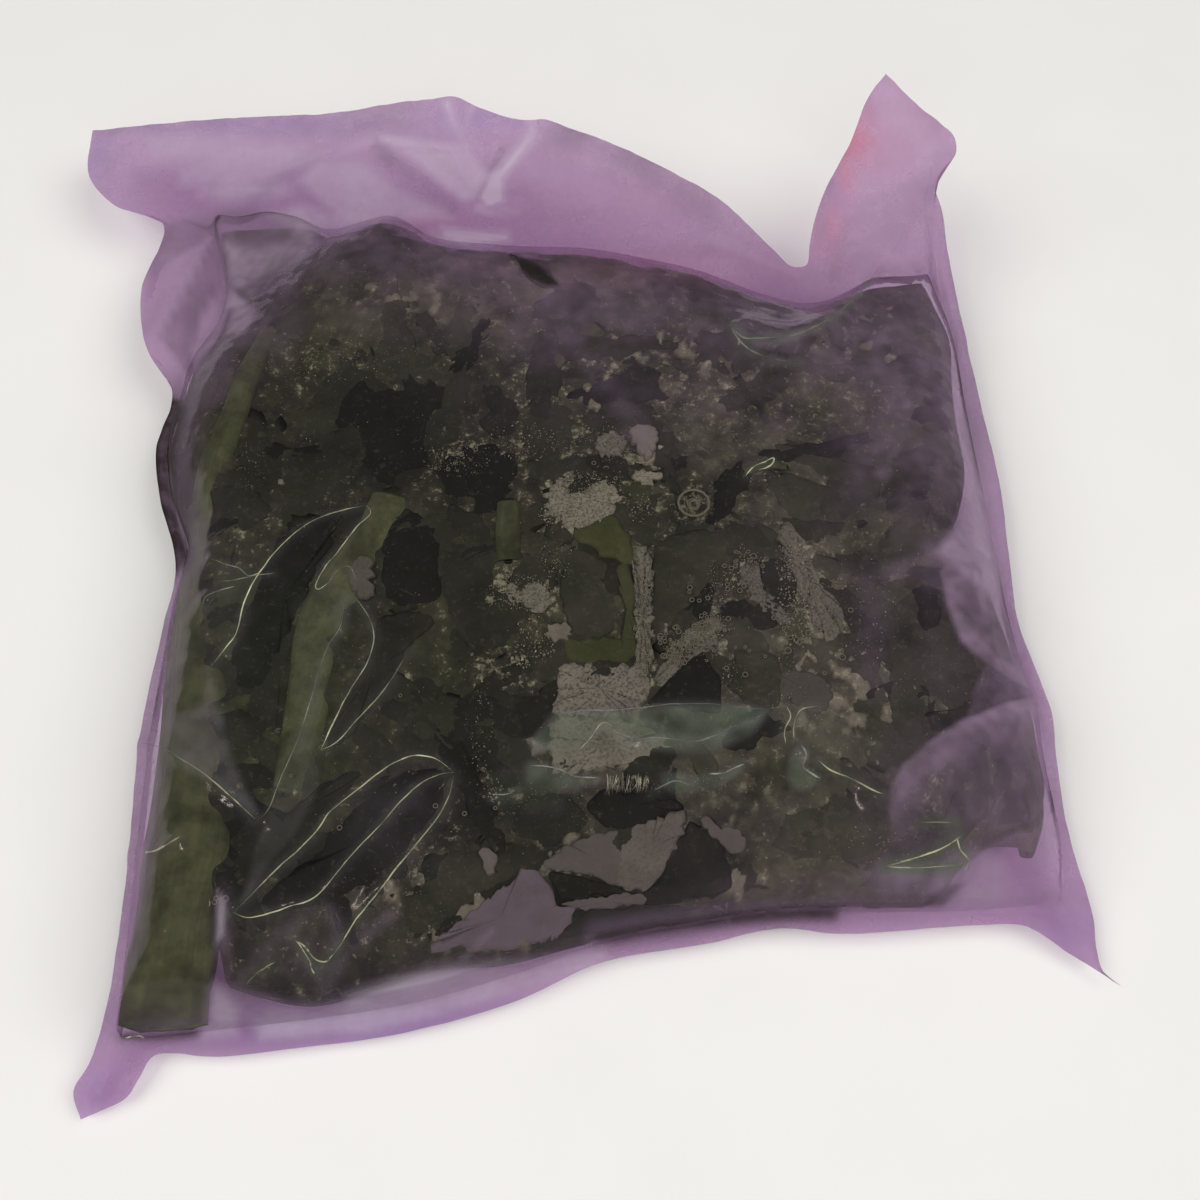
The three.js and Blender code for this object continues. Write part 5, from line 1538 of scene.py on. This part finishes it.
def new_material(name):
    """An empty material, and the place in metres that its patterns start from."""
    material = bpy.data.materials.new(name)
    material.use_nodes = True
    material.node_tree.nodes.clear()
    return material, add_node(material, "TexCoord", output="Object")


def add_node(material, kind, inputs=None, output=0, **settings):
    """Adds one node and returns one of its outputs. Each input is a value or another output."""
    tree = material.node_tree
    node = tree.nodes.new("ShaderNode" + kind)
    for key, value in settings.items():
        setattr(node, key, value)
    for key, value in (inputs or {}).items():
        if isinstance(value, bpy.types.NodeSocket):
            tree.links.new(value, node.inputs[key])
        else:
            node.inputs[key].default_value = value
    return node.outputs[output] if node.outputs else node


def painted(material, name, output="Fac"):
    """The amounts that a piece's points carry under this name."""
    return add_node(material, "Attribute", output=output, attribute_name=name)


def per_mm(length):
    """The scale of a texture that repeats every `length` millimetres."""
    return 1000.0 / length


def clouds(material, place, length, detail, roughness=0.5):
    """Noise with clouds of about this length in mm."""
    return add_node(material, "TexNoise", {
        "Vector": place, "Scale": per_mm(length), "Detail": detail, "Roughness": roughness,
    })


def spread(material, value, low, high, bottom=0.0, top=1.0):
    """bottom where the value is `low` or less, top where it is `high` or more."""
    return add_node(material, "MapRange", {
        "Value": value, "From Min": low, "From Max": high, "To Min": bottom, "To Max": top,
    })


def reckon(material, operation, a, b, **settings):
    return add_node(material, "Math", {0: a, 1: b}, operation=operation, **settings)


def mixed(material, share, low, high):
    """The colour `low` where the share is 0, and `high` where it is 1."""
    return add_node(material, "Mix", {0: share, 6: low, 7: high}, 2, data_type="RGBA")


def dress(pieces, material, surface):
    """Ends a material with this surface, and gives it to some pieces."""
    add_node(material, "OutputMaterial", {"Surface": surface})
    for piece in pieces:
        piece.data.materials.append(material)
    print(material.name, "on", [piece.name for piece in pieces])


def give_surface(pieces, material, base, roughness, relief, strength, distance, specular):
    """Gives a solid surface to some pieces: a colour, and a relief `distance` mm deep."""
    bump = add_node(material, "Bump", {"Height": relief, "Strength": strength, "Distance": distance * MM})
    surface = add_node(material, "BsdfPrincipled", {
        "Base Color": base, "Roughness": roughness, "Normal": bump, "Specular IOR Level": specular,
    })
    dress(pieces, material, surface)


# %% The frozen mush
def mottled(material, place, dark, pale):
    """The pattern of frozen leaf mush, shared by the slab and the leaves: clouds of a few sizes
    run from the dark colour to the pale one, further where the points are painted light. The
    second result is the finer clouds."""
    blotch = clouds(material, place, 12, 7, 0.62)
    fleck = clouds(material, place, 2.6, 5, 0.7)
    reach = spread(material, painted(material, "light"), 0, 1, 0.14, 0.9)
    patchy = reckon(material, "MULTIPLY", spread(material, blotch, 0.32, 0.62), reach)
    cloudy = mixed(material, patchy, dark, pale)
    speck = reckon(material, "MULTIPLY", spread(material, fleck, 0.54, 0.7, 0, 0.5), reach)
    return mixed(material, speck, cloudy, seen("6a6455")), fleck


mush, place = new_material("frozen leaf mush")
tone, fleck = mottled(mush, place, seen("1a1a15"), seen("4f4a40"))
crystal = add_node(mush, "TexVoronoi", {"Vector": place, "Scale": per_mm(0.9), "Randomness": 1.0})
moss = reckon(mush, "MULTIPLY", painted(mush, "green"), 0.6)
tone = mixed(mush, moss, tone, mixed(mush, 0.75, tone, seen("33351d")))
pallor = reckon(mush, "MULTIPLY", painted(mush, "milk"), 0.6)
tone = mixed(mush, pallor, tone, seen("645d53"))
drift = reckon(mush, "MULTIPLY", painted(mush, "rime"), 0.3)
rime_grain = reckon(mush, "ADD", clouds(mush, place, 1.1, 4, 0.7), drift)
tone = mixed(mush, spread(mush, rime_grain, 0.62, 0.8, 0, 0.75), tone, seen("7d7866"))
relief = reckon(mush, "SUBTRACT", fleck, crystal)
give_surface((slab,), mush, tone, 0.55, relief, 0.3, 0.5, 0.08)

# %% The leaves
leaf_skin, place = new_material("blanched spinach leaf")
tone, fleck = mottled(leaf_skin, place, seen("161612"), seen("48443a"))
shade = painted(leaf_skin, "tone")
skin = mixed(leaf_skin, spread(leaf_skin, shade, 0, 0.5), seen("131410"), seen("2a2b20"))
skin = mixed(leaf_skin, spread(leaf_skin, shade, 0.5, 1), skin, seen("393c1e"))
skin = mixed(leaf_skin, spread(leaf_skin, shade, 0, 0.25, 0.1, 0.5), skin, tone)
dust = clouds(leaf_skin, place, 1.2, 5, 0.7)
skin = mixed(leaf_skin, spread(leaf_skin, dust, 0.57, 0.72, 0, 0.3), skin, seen("4d493f"))
relief = reckon(leaf_skin, "ADD", fleck, clouds(leaf_skin, place, 7, 5, 0.6))
give_surface((leaves,), leaf_skin, skin, 0.5, relief, 0.3, 0.4, 0.08)

# %% The stalks
stalk_skin, place = new_material("blanched spinach stalk")
stretched = add_node(
    stalk_skin, "VectorMath", {0: painted(stalk_skin, "fibre", "Vector"), 1: (0.9, 0.9, 0.06)},
    operation="MULTIPLY",
)
fibre = add_node(stalk_skin, "TexNoise", {"Vector": stretched, "Scale": 1.0, "Detail": 4, "Roughness": 0.6})
cloud = clouds(stalk_skin, place, 6, 6, 0.65)
skin = mixed(stalk_skin, painted(stalk_skin, "tone"), seen("26271a"), seen("42432f"))
skin = mixed(stalk_skin, spread(stalk_skin, fibre, 0.45, 0.72, 0, 0.5), skin, seen("4b4a34"))
skin = mixed(stalk_skin, spread(stalk_skin, cloud, 0.4, 0.66, 0, 0.75), skin, seen("1e1f15"))
relief = reckon(stalk_skin, "ADD", fibre, cloud)
give_surface((stalks,), stalk_skin, skin, 0.42, relief, 0.4, 0.6, 0.1)

# %% Milky ice
milky, place = new_material("milky ice")
cloud = clouds(milky, place, 5, 6, 0.65)
pore = clouds(milky, place, 0.55, 3, 0.6)
body = mixed(milky, painted(milky, "pale"), seen("3c3833"), seen("6f6a5c"))
body = mixed(milky, painted(milky, "purple"), body, seen("4e444b"))
body = mixed(milky, spread(milky, cloud, 0.4, 0.7, 0, 0.45), body, seen("35322d"))
dark = reckon(milky, "MULTIPLY", spread(milky, pore, 0.5, 0.62, 0, 0.6), painted(milky, "pits"))
body = mixed(milky, dark, body, seen("1f1d19"))
give_surface((ice_plates,), milky, body, 0.45, pore, 0.3, 0.3, 0.15)

# %% Frost
rime_ice, place = new_material("frost")
sparkle = clouds(rime_ice, place, 1.1, 3)
body = mixed(rime_ice, painted(rime_ice, "pale"), seen("5a5648"), seen("9a9482"))
body = mixed(rime_ice, sparkle, body, seen("4c483c"))
give_surface((frost, bubbles), rime_ice, body, 0.35, sparkle, 0.3, 0.2, 0.5)

# %% [markdown]
# ## The film's material
# Thin film doesn't bend light, so a transparent shader with a tint is truer than glass, and
# cheaper. A veil of scattering is mixed in by the painted amount: half of it reflects, half
# passes on. The fog's colour starts as the film's own, and each painted tint is mixed in over
# it; among them are painted shade, painted light and painted highlights. A glossy layer lies
# over all, strongest at grazing angles, on the outside only, because the same sum seen from
# within would turn into a mirror.

# %% The film
FILM_VEIL = colour("c0a3c2")
# In order: cool fog, rosy painted light, violet tint, red painted reflection, stain with painted shade, white
# painted highlight.
FILM_TINTS = (          # painted as, part of it, colour; each lies over the one before
    ("haze", "X", colour("9aa694")), ("haze", "Z", colour("dc9cb4")), ("tint_and_highlight", "Y", colour("a48cc6")),
    ("tint_and_highlight", "Z", colour("e4707e")), ("haze", "Y", colour("3c3430")), ("tint_and_highlight", "X", colour("f4ecf8")),
)
HIGHLIGHT_FOG = 0.8      # how foggy the film is at least where the white of a highlight is painted in full
GLOSS_TINT = (0.75, 0.66, 0.78, 1.0)
foil, place = new_material("purple film")
ripple = clouds(foil, place, 5, 4, 0.55)
bump = add_node(foil, "Bump", {"Height": ripple, "Strength": 0.2, "Distance": 0.4 * MM})
uneven = spread(foil, ripple, 0.3, 0.7, 0.85, 1.15)
amount = reckon(foil, "MULTIPLY", painted(foil, "veil"), uneven, use_clamp=True)
fog = FILM_VEIL
for name, axis, tint in FILM_TINTS:
    share = add_node(foil, "SeparateXYZ", {0: painted(foil, name, "Vector")}, axis)
    fog = mixed(foil, share, fog, tint)
# The last tint's share is that of the white painted highlight, which also makes the film foggier.
highlight_share = share        # the last tint's share
amount = reckon(foil, "MAXIMUM", amount, reckon(foil, "MULTIPLY", highlight_share, HIGHLIGHT_FOG))
clear = add_node(foil, "BsdfTransparent", {"Color": FILM_TINT})
back_light = add_node(foil, "BsdfDiffuse", {"Color": fog, "Normal": bump})
through_light = add_node(foil, "BsdfTranslucent", {"Color": fog, "Normal": bump})
scatter_half = add_node(foil, "MixShader", {0: 0.5, 1: back_light, 2: through_light})
body = add_node(foil, "MixShader", {0: amount, 1: clear, 2: scatter_half})
edge_on = add_node(foil, "Fresnel", {"IOR": 1.4, "Normal": bump})
outside_face = reckon(foil, "SUBTRACT", 1.0, add_node(foil, "NewGeometry", output="Backfacing"))
gloss_share = reckon(foil, "MULTIPLY", edge_on, outside_face)
gloss_share = reckon(foil, "MULTIPLY", gloss_share, painted(foil, "sleek"))
gloss = add_node(foil, "BsdfGlossy", {"Color": GLOSS_TINT, "Roughness": 0.14, "Normal": bump})
surface = add_node(foil, "MixShader", {0: gloss_share, 1: body, 2: gloss})
dress((film,), foil, surface)

# %% The painted crease highlights
highlight_paint, place = new_material("painted crease highlight")
broken = spread(highlight_paint, clouds(highlight_paint, place, 2, 3), 0.3, 0.62, 0.35, 1)
share = reckon(highlight_paint, "MULTIPLY", painted(highlight_paint, "shine"), broken, use_clamp=True)
# The pale colour is a painted highlight, laid over the clear film where the painted shine is.
highlight_colour = mixed(highlight_paint, painted(highlight_paint, "cool"), colour("d3d6ae"), colour("a3b0a6"))
clear = add_node(highlight_paint, "BsdfTransparent", {"Color": FILM_TINT})
surface = add_node(highlight_paint, "BsdfPrincipled", {"Base Color": highlight_colour, "Roughness": 0.25})
surface = add_node(highlight_paint, "MixShader", {0: share, 1: clear, 2: surface})
dress((highlight_threads,), highlight_paint, surface)

# %% [markdown]
# ## Table and light
# The photograph's surroundings are blank, so the pouch lies on a plain pale table. Wide panels
# at both sides and in front light it softly, and one small lamp gives the glints. A film seen
# from 61.5 degrees mirrors what is 28.5 degrees behind the vertical. Nothing bright stands
# there, so the spinach stays dark.

# %% Table
TABLE_HALF, TABLE_DROP = 0.9, 0.0003    # metres; the drop keeps the table clear of the film's base
table_top = add_object(
    "table_top",
    np.array([(-1, -1, 0), (1, -1, 0), (1, 1, 0), (-1, 1, 0)]) * TABLE_HALF / MM - (0, 0, TABLE_DROP / MM),
    [(0, 1, 2, 3)], smooth=False,
)
laminate, place = new_material("pale table")
grain = clouds(laminate, place, 40, 3)
board = mixed(laminate, grain, colour("f0efed"), colour("f6f5f3"))
surface = add_node(laminate, "BsdfPrincipled", {
    "Base Color": board, "Roughness": 0.7, "Specular IOR Level": 0.1,
})
dress((table_top,), laminate, surface)

# %% Lights
MIRRORED_WIDTH = 0.2    # m; the film's gloss mirrors only lights narrower than this
LIGHTS = [              # name, place in m, width in m, power in W, colour
    ("left panel", (-1.3, -0.3, 1.7), 1.8, 25.0, (1.0, 0.99, 0.97)),
    ("right panel", (1.3, -0.2, 1.7), 1.8, 25.0, (1.0, 0.98, 0.97)),
    ("front panel", (0.1, -1.7, 1.4), 1.8, 12.5, (1.0, 0.99, 0.97)),
    ("small lamp", (-0.45, -0.3, 1.0), 0.08, 0.5, (1.0, 0.93, 0.78)),
]
for name, where, width, power, hue in LIGHTS:
    data = bpy.data.lights.new(name, "AREA")
    data.shape = "DISK"
    data.size = width
    data.energy = power
    data.color = hue
    light = bpy.data.objects.new(name, data)
    light.visible_glossy = width < MIRRORED_WIDTH
    light.location = where
    aim = Vector(TARGET * MM) - light.location
    light.rotation_euler = aim.to_track_quat("-Z", "Y").to_euler()
    scene.collection.objects.link(light)
world = bpy.data.worlds.new("room")
world.use_nodes = True
world.node_tree.nodes["Background"].inputs["Color"].default_value = (0.9, 0.92, 1.0, 1.0)
world.node_tree.nodes["Background"].inputs["Strength"].default_value = 0.07
scene.world = world
print("lights", [light[0] for light in LIGHTS])

# %% [markdown]
# ## Handing over
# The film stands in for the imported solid, and every piece rides on the pouch's one body.

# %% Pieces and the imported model
for piece, slot in (
    (film, "film"), (highlight_threads, "film"), (slab, "ice"), (ice_plates, "ice"), (frost, "ice"), (bubbles, "ice"),
    (leaves, "leaf"), (stalks, "stalk"),
):
    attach(piece, "root")
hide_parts("pouch")

# %% Updating the scene
bpy.context.view_layer.update()
